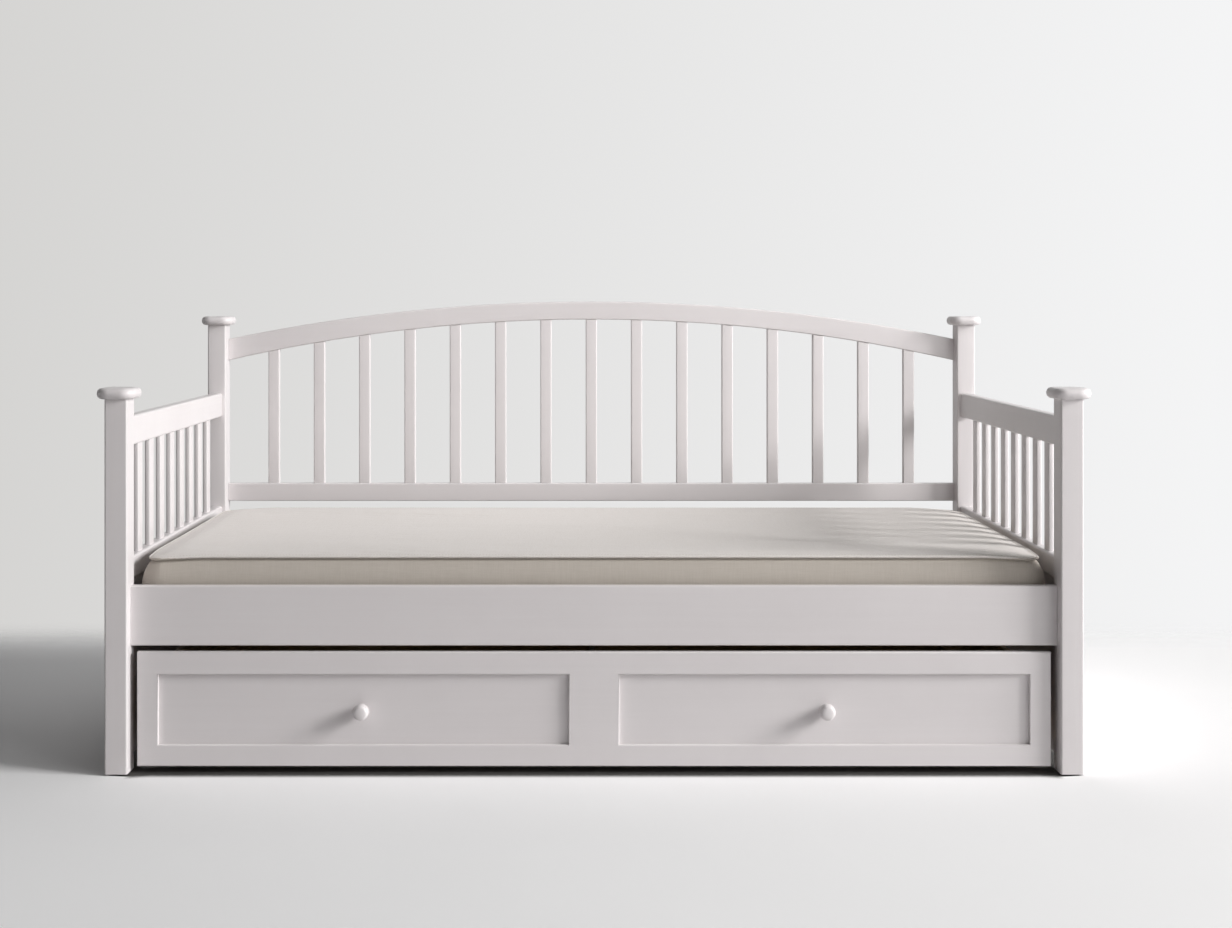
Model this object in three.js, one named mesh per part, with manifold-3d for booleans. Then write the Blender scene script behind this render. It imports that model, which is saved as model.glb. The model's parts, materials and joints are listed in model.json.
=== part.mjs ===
// A storage daybed in painted wood. Four posts carry an arched spindle back, two spindle arms and a slat
// base with a single mattress. One wide drawer on casters rolls out from under the front rail.
// Sizes are in millimetres. +X runs along the bed to the right, -Y is the front and +Z is up.
// The origin is on the floor, under the middle of the bed.

import * as THREE from 'three';
import { mergeVertices } from 'three/addons/utils/BufferGeometryUtils.js';
import Module from 'manifold-3d';

const wasm = await Module();
wasm.setup();

// Gaps and shared values
const fit = 0.3; // left between two pieces that meet, as in any dry joint
const overrun = 6; // how far a block reaches past the face that it cuts or is joined to
const weldDistance = 0.001;
const edgeSteps = 1; // each rounded edge gets twice this many facets
const cornerLimitShare = 0.48; // the most of a side that its corner radius may take

// Mattress: a standard single, lying loose on the slats
const mattressLength = 1900;
const mattressWidth = 900;
const mattressThickness = 140;
const mattressCorner = 42;
const mattressCrown = 4;
const mattressDrawIn = 4; // how far the sides pull in between the corners
const mattressLongSteps = 9;
const mattressShortSteps = 5;
const mattressCornerSteps = 4;
const mattressRoll = 12; // how far the rounded edges of its top and bottom reach in from the piping
const pipingBulge = 4; // how far the piping stands out of its seam
const mattressEndGap = 18;
const mattressFrontGap = 10;
const mattressRearGap = 80;

// Posts, their caps and their glides
const postWidth = 48;
const postDepth = 60;
const postEdge = 4;
const frontPostRise = 39; // from the arm's top rail to the underside of the front cap
const rearPostRise = 37; // from the end of the arch to the underside of the rear cap
const capOverhang = 17;
const capThickness = 23;
const capCorner = 28;
const capEdge = 10;
const capSteps = 3;
const glideDiameter = 32;
const glideThickness = 3;
const glideSides = 20;

// Front and rear rails, end panels, cleats and the rail that stops the drawer
const railBottom = 265;
const railHeight = 125;
const rearRailLap = 10; // how far the rear rail reaches below the top of the drawer's back
const railThickness = 22;
const railSetback = 28; // from the outer faces of the posts
const railEdge = 3;
const endPanelBottom = 20;
const endPanelThickness = 18;
const cleatLift = 3.4; // above the underside of the rails
const cleatHeight = 25;
const cleatDepth = 22;
const cleatInset = 20;
const cleatEdge = 2;
const stopRailBottom = 50;
const stopRailHeight = 60;

// Slat base: slats across the bed on webbing straps
const slatCount = 14;
const slatWidth = 70;
const slatThickness = 14;
const slatEndGap = 3;
const strapCount = 3;
const strapWidth = 40;
const strapThickness = 1.5;
const strapBite = 0.5; // how far a stapled strap is pressed into the slats
const strapSpacing = 320;

// Arms
const armRailThickness = 28;
const armRailEdge = 5;
const armRailLift = 5; // bottom rail of the arm above the top of the front rail
const armBottomRailHeight = 48;
const armOpening = 236; // clear height between the arm's two rails
const armTopRailHeight = 63;
const armSpindleCount = 8;
const armSpindlePitch = 102;
const armSpindleThickness = 12;
const armSpindleWidth = 37;
const spindleWidth = 30;
const spindleEdge = 3;

// Back
const backThickness = 22;
const backSetback = 2; // from the rear faces of the rear posts
const backRailLift = 63; // lower rail of the back above the top of the rear rail
const backRailHeight = 47;
const backRailEdge = 3;
const backOpening = 437; // from the lower rail to the underside of the arch at its crown
const archCrownDepth = 48;
const archEndDepth = 57;
const archRise = 100; // of the arch's upper edge, from its ends to its crown
const archSteps = 36;
const backSpindleCount = 15;
const backSpindleThickness = 18;

// Tenons
const tenonLength = 20;
const tenonThickness = 10;
const tenonShoulder = 8;
const spindleTenonLength = 12;
const spindleTenonShoulder = 3;

// Drawer
const drawerSideGap = 15; // between the drawer front and a post
const drawerTopGap = 12; // under the front rail
const drawerFloorGap = 15;
const drawerProud = 8; // how far the drawer front stands in front of the front rail
const drawerFrontThickness = 20;
const drawerFrontEdge = 3;
const stileWidth = 44;
const mullionWidth = 105;
const frontTopRailHeight = 47;
const frontBottomRailHeight = 45;
const panelRecess = 10;
const panelThickness = 8;
const panelLap = 9; // how far a panel reaches behind its frame
const drawerBoxInset = 13; // of the box's sides from the ends of the front
const drawerSideThickness = 15;
const drawerSideDrop = 53; // from the top of the front to the top of the sides
const drawerSideEdge = 1.5;
const drawerBottomThickness = 12;
const dividerThickness = 12;
const dividerDrop = 10; // of the divider below the sides

// Knobs: turned, with a foot, a neck and a head whose face is a low step smaller
const knobHeadRadius = 16.5;
const knobNeckRadius = 8.5;
const knobFootRadius = 11;
const knobFootHeight = 4;
const knobNeckHeight = 5;
const knobHeadHeight = 28;
const knobSides = 32;
const knobShift = 4; // from the middle of its panel, towards the end of the bed
const knobDrop = 2.5; // below the middle of its panel

// Casters
const wheelRadius = 20;
const wheelWidth = 17;
const wheelSides = 24;
const wheelRimWidth = 13;
const hubRadius = 8;
const axleRadius = 3;
const axleGap = 0.3;
const axleSides = 16;
const axleHeadLength = 1.5;
const wheelSideGap = 0.8;
const wheelTopGap = 4;
const bracketPlateLength = 62;
const bracketPlateThickness = 2;
const bracketPlateFlange = 12; // of the plate outside each cheek
const cheekThickness = 2;
const cheekTopWidth = 40;
const cheekEndRadius = 8;
const casterEndInset = 85; // from the ends of the drawer box
const casterSideInset = 75; // from the sides of the drawer box

// Positions that follow from the sizes
const innerLength = mattressLength + 2 * mattressEndGap;
const overallDepth = 2 * (railSetback + railThickness) + mattressFrontGap + mattressWidth + mattressRearGap;
const frontY = -overallDepth / 2;
const rearY = overallDepth / 2;
const postInnerX = innerLength / 2;
const postCentreX = postInnerX + postWidth / 2;
const postBottom = glideThickness + fit;
const railTop = railBottom + railHeight;
const frontRailFront = frontY + railSetback;
const frontRailBack = frontRailFront + railThickness;
const rearRailFront = rearY - railSetback - railThickness;
const rearRailBack = rearY - railSetback;
const armBottomRailBottom = railTop + armRailLift;
const armBottomRailTop = armBottomRailBottom + armBottomRailHeight;
const armTopRailBottom = armBottomRailTop + armOpening;
const armTopRailTop = armTopRailBottom + armTopRailHeight;
const endPanelTop = armBottomRailBottom - fit;
const frontPostTop = armTopRailTop + frontPostRise;
const backFront = rearY - backSetback - backThickness;
const backRear = rearY - backSetback;
const backRailBottom = railTop + backRailLift;
const backRailTop = backRailBottom + backRailHeight;
const archCrownUnderside = backRailTop + backOpening;
const archCrownTop = archCrownUnderside + archCrownDepth;
const archUndersideRise = archRise + archEndDepth - archCrownDepth;
const archEndTop = archCrownTop - archRise;
const archEndUnderside = archCrownUnderside - archUndersideRise;
const rearPostTop = archEndTop + rearPostRise;
const cleatBottom = railBottom + cleatLift;
const slatBottom = cleatBottom + cleatHeight + fit;
const slatTop = slatBottom + slatThickness;
const mattressBottom = slatTop + fit;
const drawerFrontY = frontRailFront - drawerProud;
const drawerBoxFront = drawerFrontY + drawerFrontThickness + fit;
const drawerBoxBack = rearRailFront - fit;
const drawerFrontEndX = postInnerX - drawerSideGap;
const drawerFrontTop = railBottom - drawerTopGap;
const drawerBoxX = drawerFrontEndX - drawerBoxInset;
const casterTop = 2 * wheelRadius + wheelTopGap + bracketPlateThickness;
const drawerBottomUnderside = casterTop + fit;
const drawerSideBottom = drawerBottomUnderside + drawerBottomThickness + fit;
const drawerSideTop = drawerFrontTop - drawerSideDrop;
const rearRailBottom = drawerSideTop - rearRailLap;

// Materials
const paint = new THREE.MeshStandardMaterial({ color: 0xd8d2ce, roughness: 0.42, metalness: 0 });
const boardFinish = new THREE.MeshStandardMaterial({ color: 0xcbb69c, roughness: 0.55, metalness: 0 });
const bareWood = new THREE.MeshStandardMaterial({ color: 0xd7bf99, roughness: 0.7, metalness: 0 });
const fabric = new THREE.MeshStandardMaterial({ color: 0xd3ccc2, roughness: 0.95, metalness: 0 });
const darkPlastic = new THREE.MeshStandardMaterial({ color: 0x2c2b2a, roughness: 0.6, metalness: 0 });
const wheelPlastic = new THREE.MeshStandardMaterial({ color: 0x4a4a4c, roughness: 0.5, metalness: 0 });
const steel = new THREE.MeshStandardMaterial({ color: 0xa9abad, roughness: 0.35, metalness: 1 });

// A closed geometry as a solid that can be joined and cut
function solidOf(geometry) {
  const bare = geometry.clone();
  bare.deleteAttribute('normal');
  bare.deleteAttribute('uv');
  const welded = mergeVertices(bare, weldDistance);
  const mesh = new wasm.Mesh({
    numProp: 3,
    vertProperties: new Float32Array(welded.attributes.position.array),
    triVerts: new Uint32Array(welded.index.array),
  });
  return new wasm.Manifold(mesh);
}

// A solid as a geometry again
function geometryOf(solid) {
  const mesh = solid.getMesh();
  const geometry = new THREE.BufferGeometry();
  geometry.setAttribute('position', new THREE.BufferAttribute(mesh.vertProperties, mesh.numProp));
  geometry.setIndex(new THREE.BufferAttribute(mesh.triVerts, 1));
  geometry.computeVertexNormals();
  return geometry;
}

// A rectangle with round corners, about the middle of its plane
function roundedRectangle(width, height, radius) {
  const corner = Math.min(radius, width * cornerLimitShare, height * cornerLimitShare);
  const x = width / 2 - corner;
  const y = height / 2 - corner;
  const shape = new THREE.Shape();
  shape.absarc(x, y, corner, 0, Math.PI / 2);
  shape.absarc(-x, y, corner, Math.PI / 2, Math.PI);
  shape.absarc(-x, -y, corner, Math.PI, 1.5 * Math.PI);
  shape.absarc(x, -y, corner, 1.5 * Math.PI, 2 * Math.PI);
  shape.closePath();
  return shape;
}

// How a section drawn in X and Y and drawn out along Z is turned to lie along each axis
const turnTo = {
  x: new THREE.Matrix4().set(0, 0, 1, 0, 1, 0, 0, 0, 0, 1, 0, 0, 0, 0, 0, 1),
  y: new THREE.Matrix4().set(0, 1, 0, 0, 0, 0, 1, 0, 1, 0, 0, 0, 0, 0, 0, 1),
  z: new THREE.Matrix4(),
};
const sectionSides = { x: ['y', 'z'], y: ['z', 'x'], z: ['x', 'y'] };

// A straight bar from its lowest to its highest corner, with the four edges along its axis rounded
function bar(axis, low, high, edge) {
  const size = high.clone().sub(low);
  const [across, up] = sectionSides[axis];
  const section = roundedRectangle(size[across], size[up], edge);
  const options = { depth: size[axis], bevelEnabled: false, curveSegments: edgeSteps };
  const geometry = new THREE.ExtrudeGeometry(section, options);
  geometry.translate(0, 0, -size[axis] / 2);
  geometry.applyMatrix4(turnTo[axis]);
  const middle = low.clone().add(high).multiplyScalar(0.5);
  geometry.translate(middle.x, middle.y, middle.z);
  return geometry;
}

// A plain block from its lowest to its highest corner
function block(low, high) {
  const size = high.clone().sub(low);
  const middle = low.clone().add(high).multiplyScalar(0.5);
  const geometry = new THREE.BoxGeometry(size.x, size.y, size.z);
  geometry.translate(middle.x, middle.y, middle.z);
  return geometry;
}

// An upright board whose outline is drawn in X and Z, with rounded edges round both faces
function board(outline, front, back, edge) {
  const round = Math.min(edge, (back - front) * cornerLimitShare);
  const geometry = new THREE.ExtrudeGeometry(outline, {
    depth: back - front - 2 * round,
    bevelThickness: round,
    bevelSize: round,
    bevelOffset: -round,
    bevelSegments: 2 * edgeSteps,
  });
  geometry.rotateX(Math.PI / 2);
  geometry.translate(0, back - round, 0);
  return geometry;
}

function vector(x, y, z) {
  return new THREE.Vector3(x, y, z);
}

// A closed form through a stack of rings, from the lowest to the highest, each anticlockwise from above
function loft(rings) {
  const count = rings[0].length;
  const points = rings.flat();
  const faces = [];
  for (let level = 0; level < rings.length - 1; level += 1) {
    for (let k = 0; k < count; k += 1) {
      const a = level * count + k;
      const b = level * count + ((k + 1) % count);
      faces.push(a, b, b + count, a, b + count, a + count);
    }
  }
  const capCentre = (ring) => ring.reduce((sum, p) => sum.add(p), vector(0, 0, 0)).divideScalar(count);
  const bottomCentre = points.push(capCentre(rings[0])) - 1;
  const topCentre = points.push(capCentre(rings[rings.length - 1])) - 1;
  const lastRing = (rings.length - 1) * count;
  for (let k = 0; k < count; k += 1) {
    const next = (k + 1) % count;
    faces.push(bottomCentre, next, k);
    faces.push(topCentre, lastRing + k, lastRing + next);
  }
  const geometry = new THREE.BufferGeometry().setFromPoints(points);
  geometry.setIndex(faces);
  geometry.computeVertexNormals();
  return geometry;
}

// Puts a piece in its group, with its own origin in its middle
function addPiece(group, name, geometry, material) {
  geometry.computeBoundingBox();
  const middle = geometry.boundingBox.getCenter(vector(0, 0, 0));
  geometry.translate(-middle.x, -middle.y, -middle.z);
  const mesh = new THREE.Mesh(geometry, material);
  mesh.name = name;
  mesh.position.copy(middle);
  group.add(mesh);
}

// Tenons join a bar to the piece that receives it, which is cut for each of them, a fit wider all round
const tenonsInto = {};

function withTenon(solid, low, high, receiver) {
  tenonsInto[receiver] = tenonsInto[receiver] ?? [];
  tenonsInto[receiver].push({ low, high });
  return solid.add(solidOf(block(low, high)));
}

function withMortises(solid, receiver) {
  const cuts = tenonsInto[receiver] ?? [];
  return cuts.reduce((rest, cut) => {
    const low = cut.low.clone().subScalar(fit);
    const high = cut.high.clone().addScalar(fit);
    return rest.subtract(solidOf(block(low, high)));
  }, solid);
}

// Tenons on both ends of an end-frame rail that runs between a front and a rear post
function withPostTenonsY(solid, side, x, low, high) {
  const half = tenonThickness / 2;
  const zLow = low.z + tenonShoulder;
  const zHigh = high.z - tenonShoulder;
  const frontLow = vector(x - half, low.y - tenonLength, zLow);
  const frontHigh = vector(x + half, low.y + overrun, zHigh);
  const rearLow = vector(x - half, high.y - overrun, zLow);
  const rearHigh = vector(x + half, high.y + tenonLength, zHigh);
  const joined = withTenon(solid, frontLow, frontHigh, `front_${side}_post`);
  return withTenon(joined, rearLow, rearHigh, `rear_${side}_post`);
}

// Tenons on both ends of a back rail that runs between the rear posts
function withPostTenonsX(solid, zLow, zHigh) {
  const middle = (backFront + backRear) / 2;
  const half = tenonThickness / 2;
  const end = postInnerX - fit;
  const leftLow = vector(-end - tenonLength, middle - half, zLow);
  const leftHigh = vector(overrun - end, middle + half, zHigh);
  const rightLow = vector(end - overrun, middle - half, zLow);
  const rightHigh = vector(end + tenonLength, middle + half, zHigh);
  const joined = withTenon(solid, leftLow, leftHigh, 'rear_left_post');
  return withTenon(joined, rightLow, rightHigh, 'rear_right_post');
}

// Each arm: a top rail, a bottom rail that carries its spindles, and the panel that closes the end under it
function addArm(group, side, x) {
  const yFront = frontY + postDepth + fit;
  const yRear = rearY - postDepth - fit;
  const half = armRailThickness / 2;

  const bottomLow = vector(x - half, yFront, armBottomRailBottom);
  const bottomHigh = vector(x + half, yRear, armBottomRailTop);
  const bottomRail = solidOf(bar('y', bottomLow, bottomHigh, armRailEdge));
  let frame = withPostTenonsY(bottomRail, side, x, bottomLow, bottomHigh);

  const spindleHalf = armSpindleThickness / 2;
  const spindleBottom = armBottomRailTop - spindleTenonLength;
  const spindleTop = armTopRailBottom - fit;
  for (let k = 0; k < armSpindleCount; k += 1) {
    const y = (k - (armSpindleCount - 1) / 2) * armSpindlePitch;
    const low = vector(x - spindleHalf, y - armSpindleWidth / 2, spindleBottom);
    const high = vector(x + spindleHalf, y + armSpindleWidth / 2, spindleTop);
    frame = frame.add(solidOf(bar('z', low, high, spindleEdge)));
    const shoulder = vector(spindleTenonShoulder, spindleTenonShoulder, 0);
    const tenonLow = low.clone().add(shoulder).setZ(spindleTop - overrun);
    const tenonHigh = high.clone().sub(shoulder).setZ(spindleTop + spindleTenonLength);
    frame = withTenon(frame, tenonLow, tenonHigh, `${side}_arm_top_rail`);
  }
  addPiece(group, `${side}_arm_spindle_frame`, geometryOf(frame), paint);

  const topLow = vector(x - half, yFront, armTopRailBottom);
  const topHigh = vector(x + half, yRear, armTopRailTop);
  const topRail = solidOf(bar('y', topLow, topHigh, armRailEdge));
  const tenoned = withPostTenonsY(topRail, side, x, topLow, topHigh);
  addPiece(group, `${side}_arm_top_rail`, geometryOf(withMortises(tenoned, `${side}_arm_top_rail`)), paint);

  const endLow = vector(x - endPanelThickness / 2, yFront, endPanelBottom);
  const endHigh = vector(x + endPanelThickness / 2, yRear, endPanelTop);
  const endPanel = withPostTenonsY(solidOf(bar('y', endLow, endHigh, railEdge)), side, x, endLow, endHigh);
  addPiece(group, `${side}_end_panel`, geometryOf(endPanel), paint);
}

// The arch: how far an arc of a given rise over the bed's inner length drops at a distance from its crown
function archDrop(rise, x) {
  const radius = (postInnerX * postInnerX + rise * rise) / (2 * rise);
  return radius - Math.sqrt(radius * radius - x * x);
}

function undersideAt(x) {
  return archCrownUnderside - archDrop(archUndersideRise, x);
}

function topAt(x) {
  return archCrownTop - archDrop(archRise, x);
}

// Points along an edge of the arch, from left to right, past its ends
function archEdge(heightAt) {
  const reach = postInnerX + overrun;
  const points = [];
  for (let k = 0; k <= archSteps; k += 1) {
    const x = reach * ((2 * k) / archSteps - 1);
    points.push(new THREE.Vector2(x, heightAt(x)));
  }
  return points;
}

// What lies above the underside of the arch, lowered by the fit, to shape the tops of the spindles
function aboveUnderside() {
  const lower = archEdge((x) => undersideAt(x) - fit);
  const top = archCrownTop + overrun;
  const left = new THREE.Vector2(lower[0].x, top);
  const right = new THREE.Vector2(lower[archSteps].x, top);
  const outline = new THREE.Shape([...lower, right, left]);
  const depth = backThickness + 2 * overrun;
  const geometry = new THREE.ExtrudeGeometry(outline, { depth, bevelEnabled: false });
  geometry.rotateX(Math.PI / 2);
  geometry.translate(0, backRear + overrun, 0);
  return solidOf(geometry);
}

function addBack(group) {
  const middleY = (backFront + backRear) / 2;
  const spindleHalfDepth = backSpindleThickness / 2;
  const pitch = innerLength / (backSpindleCount + 1);
  const cutter = aboveUnderside();

  for (let k = 1; k <= backSpindleCount; k += 1) {
    const x = k * pitch - postInnerX;
    const low = vector(x - spindleWidth / 2, middleY - spindleHalfDepth, backRailTop + fit);
    const high = vector(x + spindleWidth / 2, middleY + spindleHalfDepth, archCrownTop);
    let spindle = solidOf(bar('z', low, high, spindleEdge)).subtract(cutter);
    const tenonX = [low.x + spindleTenonShoulder, high.x - spindleTenonShoulder];
    const tenonY = [low.y + spindleTenonShoulder, high.y - spindleTenonShoulder];
    const shoulder = Math.min(undersideAt(low.x), undersideAt(high.x)) - fit;
    const topLow = vector(tenonX[0], tenonY[0], shoulder - overrun);
    const topHigh = vector(tenonX[1], tenonY[1], shoulder + spindleTenonLength);
    const footLow = vector(tenonX[0], tenonY[0], low.z - spindleTenonLength);
    const footHigh = vector(tenonX[1], tenonY[1], low.z + overrun);
    spindle = withTenon(spindle, topLow, topHigh, 'back_arch_rail');
    spindle = withTenon(spindle, footLow, footHigh, 'back_lower_rail');
    const number = String(k).padStart(2, '0');
    addPiece(group, `back_spindle_${number}`, geometryOf(spindle), paint);
  }

  const end = postInnerX - fit;
  const lowerLow = vector(-end, backFront, backRailBottom);
  const lowerHigh = vector(end, backRear, backRailTop);
  const lowerRail = solidOf(bar('x', lowerLow, lowerHigh, backRailEdge));
  const lowerTenonTop = backRailTop - tenonShoulder;
  const lowerTenoned = withPostTenonsX(lowerRail, backRailBottom + tenonShoulder, lowerTenonTop);
  addPiece(group, 'back_lower_rail', geometryOf(withMortises(lowerTenoned, 'back_lower_rail')), paint);

  const outline = new THREE.Shape([...archEdge(undersideAt), ...archEdge(topAt).reverse()]);
  const trimLow = vector(-end, backFront - overrun, archEndUnderside - archEndDepth);
  const trimHigh = vector(end, backRear + overrun, archCrownTop + overrun);
  const longArch = solidOf(board(outline, backFront, backRear, backRailEdge));
  const arch = longArch.intersect(solidOf(block(trimLow, trimHigh)));
  const archTenoned = withPostTenonsX(arch, archEndUnderside + tenonShoulder, archEndTop - tenonShoulder);
  addPiece(group, 'back_arch_rail', geometryOf(withMortises(archTenoned, 'back_arch_rail')), paint);
}

// Each post stands on its glide and carries its cap
function addPost(group, name, x, y, top) {
  const low = vector(x - postWidth / 2, y - postDepth / 2, postBottom);
  const high = vector(x + postWidth / 2, y + postDepth / 2, top);
  const post = withMortises(solidOf(bar('z', low, high, postEdge)), `${name}_post`);
  addPiece(group, `${name}_post`, geometryOf(post), paint);

  const glideRadius = glideDiameter / 2;
  const glide = new THREE.CylinderGeometry(glideRadius, glideRadius, glideThickness, glideSides);
  glide.rotateX(Math.PI / 2);
  glide.translate(x, y, glideThickness / 2);
  addPiece(group, `${name}_glide`, glide, darkPlastic);

  const round = Math.min(capEdge, capThickness * cornerLimitShare, capCorner * cornerLimitShare);
  const plan = roundedRectangle(postWidth + 2 * capOverhang, postDepth + 2 * capOverhang, capCorner);
  const cap = new THREE.ExtrudeGeometry(plan, {
    depth: capThickness - 2 * round,
    bevelThickness: round,
    bevelSize: round,
    bevelOffset: -round,
    bevelSegments: capSteps,
    curveSegments: capSteps,
  });
  cap.translate(x, y, top + fit + round);
  addPiece(group, `${name}_post_cap`, cap, paint);
}

function addPosts(group) {
  const y = overallDepth / 2 - postDepth / 2;
  addPost(group, 'front_left', -postCentreX, -y, frontPostTop);
  addPost(group, 'front_right', postCentreX, -y, frontPostTop);
  addPost(group, 'rear_left', -postCentreX, y, rearPostTop);
  addPost(group, 'rear_right', postCentreX, y, rearPostTop);
}

// Front and rear rails, the cleats on them, and the low rail that stops the drawer
function addRails(group) {
  const end = postInnerX - fit;
  const frontLow = vector(-end, frontRailFront, railBottom);
  const frontHigh = vector(end, frontRailBack, railTop);
  const rearLow = vector(-end, rearRailFront, rearRailBottom);
  const rearHigh = vector(end, rearRailBack, railTop);
  const stopLow = vector(-end, rearRailFront, stopRailBottom);
  const stopHigh = vector(end, rearRailBack, stopRailBottom + stopRailHeight);
  addPiece(group, 'front_rail', bar('x', frontLow, frontHigh, railEdge), paint);
  addPiece(group, 'rear_rail', bar('x', rearLow, rearHigh, railEdge), paint);
  addPiece(group, 'drawer_stop_rail', bar('x', stopLow, stopHigh, railEdge), paint);

  const cleatEnd = postInnerX - cleatInset;
  const cleatTop = cleatBottom + cleatHeight;
  const frontCleatLow = vector(-cleatEnd, frontRailBack + fit, cleatBottom);
  const frontCleatHigh = vector(cleatEnd, frontRailBack + fit + cleatDepth, cleatTop);
  const rearCleatLow = vector(-cleatEnd, rearRailFront - fit - cleatDepth, cleatBottom);
  const rearCleatHigh = vector(cleatEnd, rearRailFront - fit, cleatTop);
  addPiece(group, 'front_slat_cleat', bar('x', frontCleatLow, frontCleatHigh, cleatEdge), bareWood);
  addPiece(group, 'rear_slat_cleat', bar('x', rearCleatLow, rearCleatHigh, cleatEdge), bareWood);
}

// The slats lie across the bed, and straps under them keep their spacing
function addSlats(group) {
  const pitch = innerLength / slatCount;
  const yLow = frontRailBack + slatEndGap;
  const yHigh = rearRailFront - slatEndGap;
  const slats = [];
  for (let k = 0; k < slatCount; k += 1) {
    const x = (k - (slatCount - 1) / 2) * pitch;
    const low = vector(x - slatWidth / 2, yLow, slatBottom);
    const high = vector(x + slatWidth / 2, yHigh, slatTop);
    slats.push(solidOf(block(low, high)));
  }
  const reach = ((slatCount - 1) * pitch + slatWidth) / 2 - strapWidth / 2;
  for (let k = 0; k < strapCount; k += 1) {
    const y = (k - (strapCount - 1) / 2) * strapSpacing;
    const low = vector(-reach, y - strapWidth / 2, slatBottom - strapThickness);
    const high = vector(reach, y + strapWidth / 2, slatBottom + strapBite);
    slats.push(solidOf(block(low, high)));
  }
  const roll = slats.reduce((joined, piece) => joined.add(piece));
  addPiece(group, 'slat_roll', geometryOf(roll), bareWood);
}

// One ring round the mattress, so far inside its outline, with its sides drawn in between the corners
function mattressRing(inset, height, drawIn) {
  const halfLength = mattressLength / 2 - inset;
  const halfWidth = mattressWidth / 2 - inset;
  const cornerLimit = Math.min(halfLength, halfWidth) * cornerLimitShare;
  const corner = Math.min(Math.max(mattressCorner - inset, mattressRoll), cornerLimit);
  const middleY = frontRailBack + mattressFrontGap + mattressWidth / 2;
  const ring = [];
  // The signs of each corner's X and Y, anticlockwise
  const quarters = [[1, 1], [-1, 1], [-1, -1], [1, -1]];
  quarters.forEach(([signX, signY], quarter) => {
    const centreX = signX * (halfLength - corner);
    const centreY = signY * (halfWidth - corner);
    for (let k = 0; k <= mattressCornerSteps; k += 1) {
      const angle = (quarter + k / mattressCornerSteps) * (Math.PI / 2);
      const x = centreX + corner * Math.cos(angle);
      const y = centreY + corner * Math.sin(angle);
      ring.push(vector(x, middleY + y, height));
    }
    const alongX = quarter % 2 === 0;
    const steps = alongX ? mattressLongSteps : mattressShortSteps;
    for (let k = 1; k < steps; k += 1) {
      const along = 1 - (2 * k) / steps;
      const pull = drawIn * (1 - along * along);
      const x = alongX ? along * centreX : signX * (halfLength - pull);
      const y = alongX ? signY * (halfWidth - pull) : along * centreY;
      ring.push(vector(x, middleY + y, height));
    }
  });
  return ring;
}

function addMattress(group) {
  const top = mattressBottom + mattressThickness;
  const halfWidth = mattressWidth / 2;
  // Shares of the piping's bulge and of the thickness, up the lower piping, the side and the upper piping
  const lowerShares = [[0.5, 0.008], [0, 0.03], [0.5, 0.052], [1, 0.066]];
  const sideShares = [[0.5, 0.2], [0.3, 0.5], [0.5, 0.8]];
  const upperShares = [[1, 0.925], [0.5, 0.942], [0, 0.966], [0.5, 0.988], [1.1, 0.984]];
  const rings = [mattressRing(mattressRoll, mattressBottom, 0)];
  [...lowerShares, ...sideShares, ...upperShares].forEach(([bulgeShare, heightShare]) => {
    const height = mattressBottom + mattressThickness * heightShare;
    rings.push(mattressRing(pipingBulge * bulgeShare, height, mattressDrawIn));
  });
  rings.push(mattressRing(mattressRoll, top, mattressDrawIn));
  // Shares of the half width and of the crown, in towards the middle
  const crownShares = [[0.12, 0.35], [0.35, 0.75], [0.7, 1]];
  crownShares.forEach(([insetShare, crownShare]) => {
    rings.push(mattressRing(halfWidth * insetShare, top + mattressCrown * crownShare, 0));
  });
  addPiece(group, 'mattress', loft(rings), fabric);
}

// A knob stands out of its panel, towards the front
function knobGeometry(x, y, z) {
  const neckTop = knobFootHeight + knobNeckHeight;
  // Shares of the head's radius and height, from its underside to its front
  const undersideShares = [[0.72, 0.02], [0.93, 0.08], [1, 0.2]];
  const faceShares = [[1, 0.64], [0.95, 0.73], [0.87, 0.76], [0.87, 0.83], [0.8, 0.93], [0.62, 0.98], [0.3, 1]];
  const profile = [
    new THREE.Vector2(0, 0),
    new THREE.Vector2(knobFootRadius, 0),
    new THREE.Vector2(knobFootRadius, knobFootHeight / 2),
    new THREE.Vector2(knobNeckRadius, knobFootHeight),
    new THREE.Vector2(knobNeckRadius, neckTop),
  ];
  [...undersideShares, ...faceShares].forEach(([radiusShare, heightShare]) => {
    const radius = knobHeadRadius * radiusShare;
    profile.push(new THREE.Vector2(radius, neckTop + knobHeadHeight * heightShare));
  });
  profile.push(new THREE.Vector2(0, neckTop + knobHeadHeight));
  const geometry = new THREE.LatheGeometry(profile, knobSides);
  geometry.rotateX(Math.PI);
  geometry.translate(x, y, z);
  return geometryOf(solidOf(geometry));
}

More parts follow.
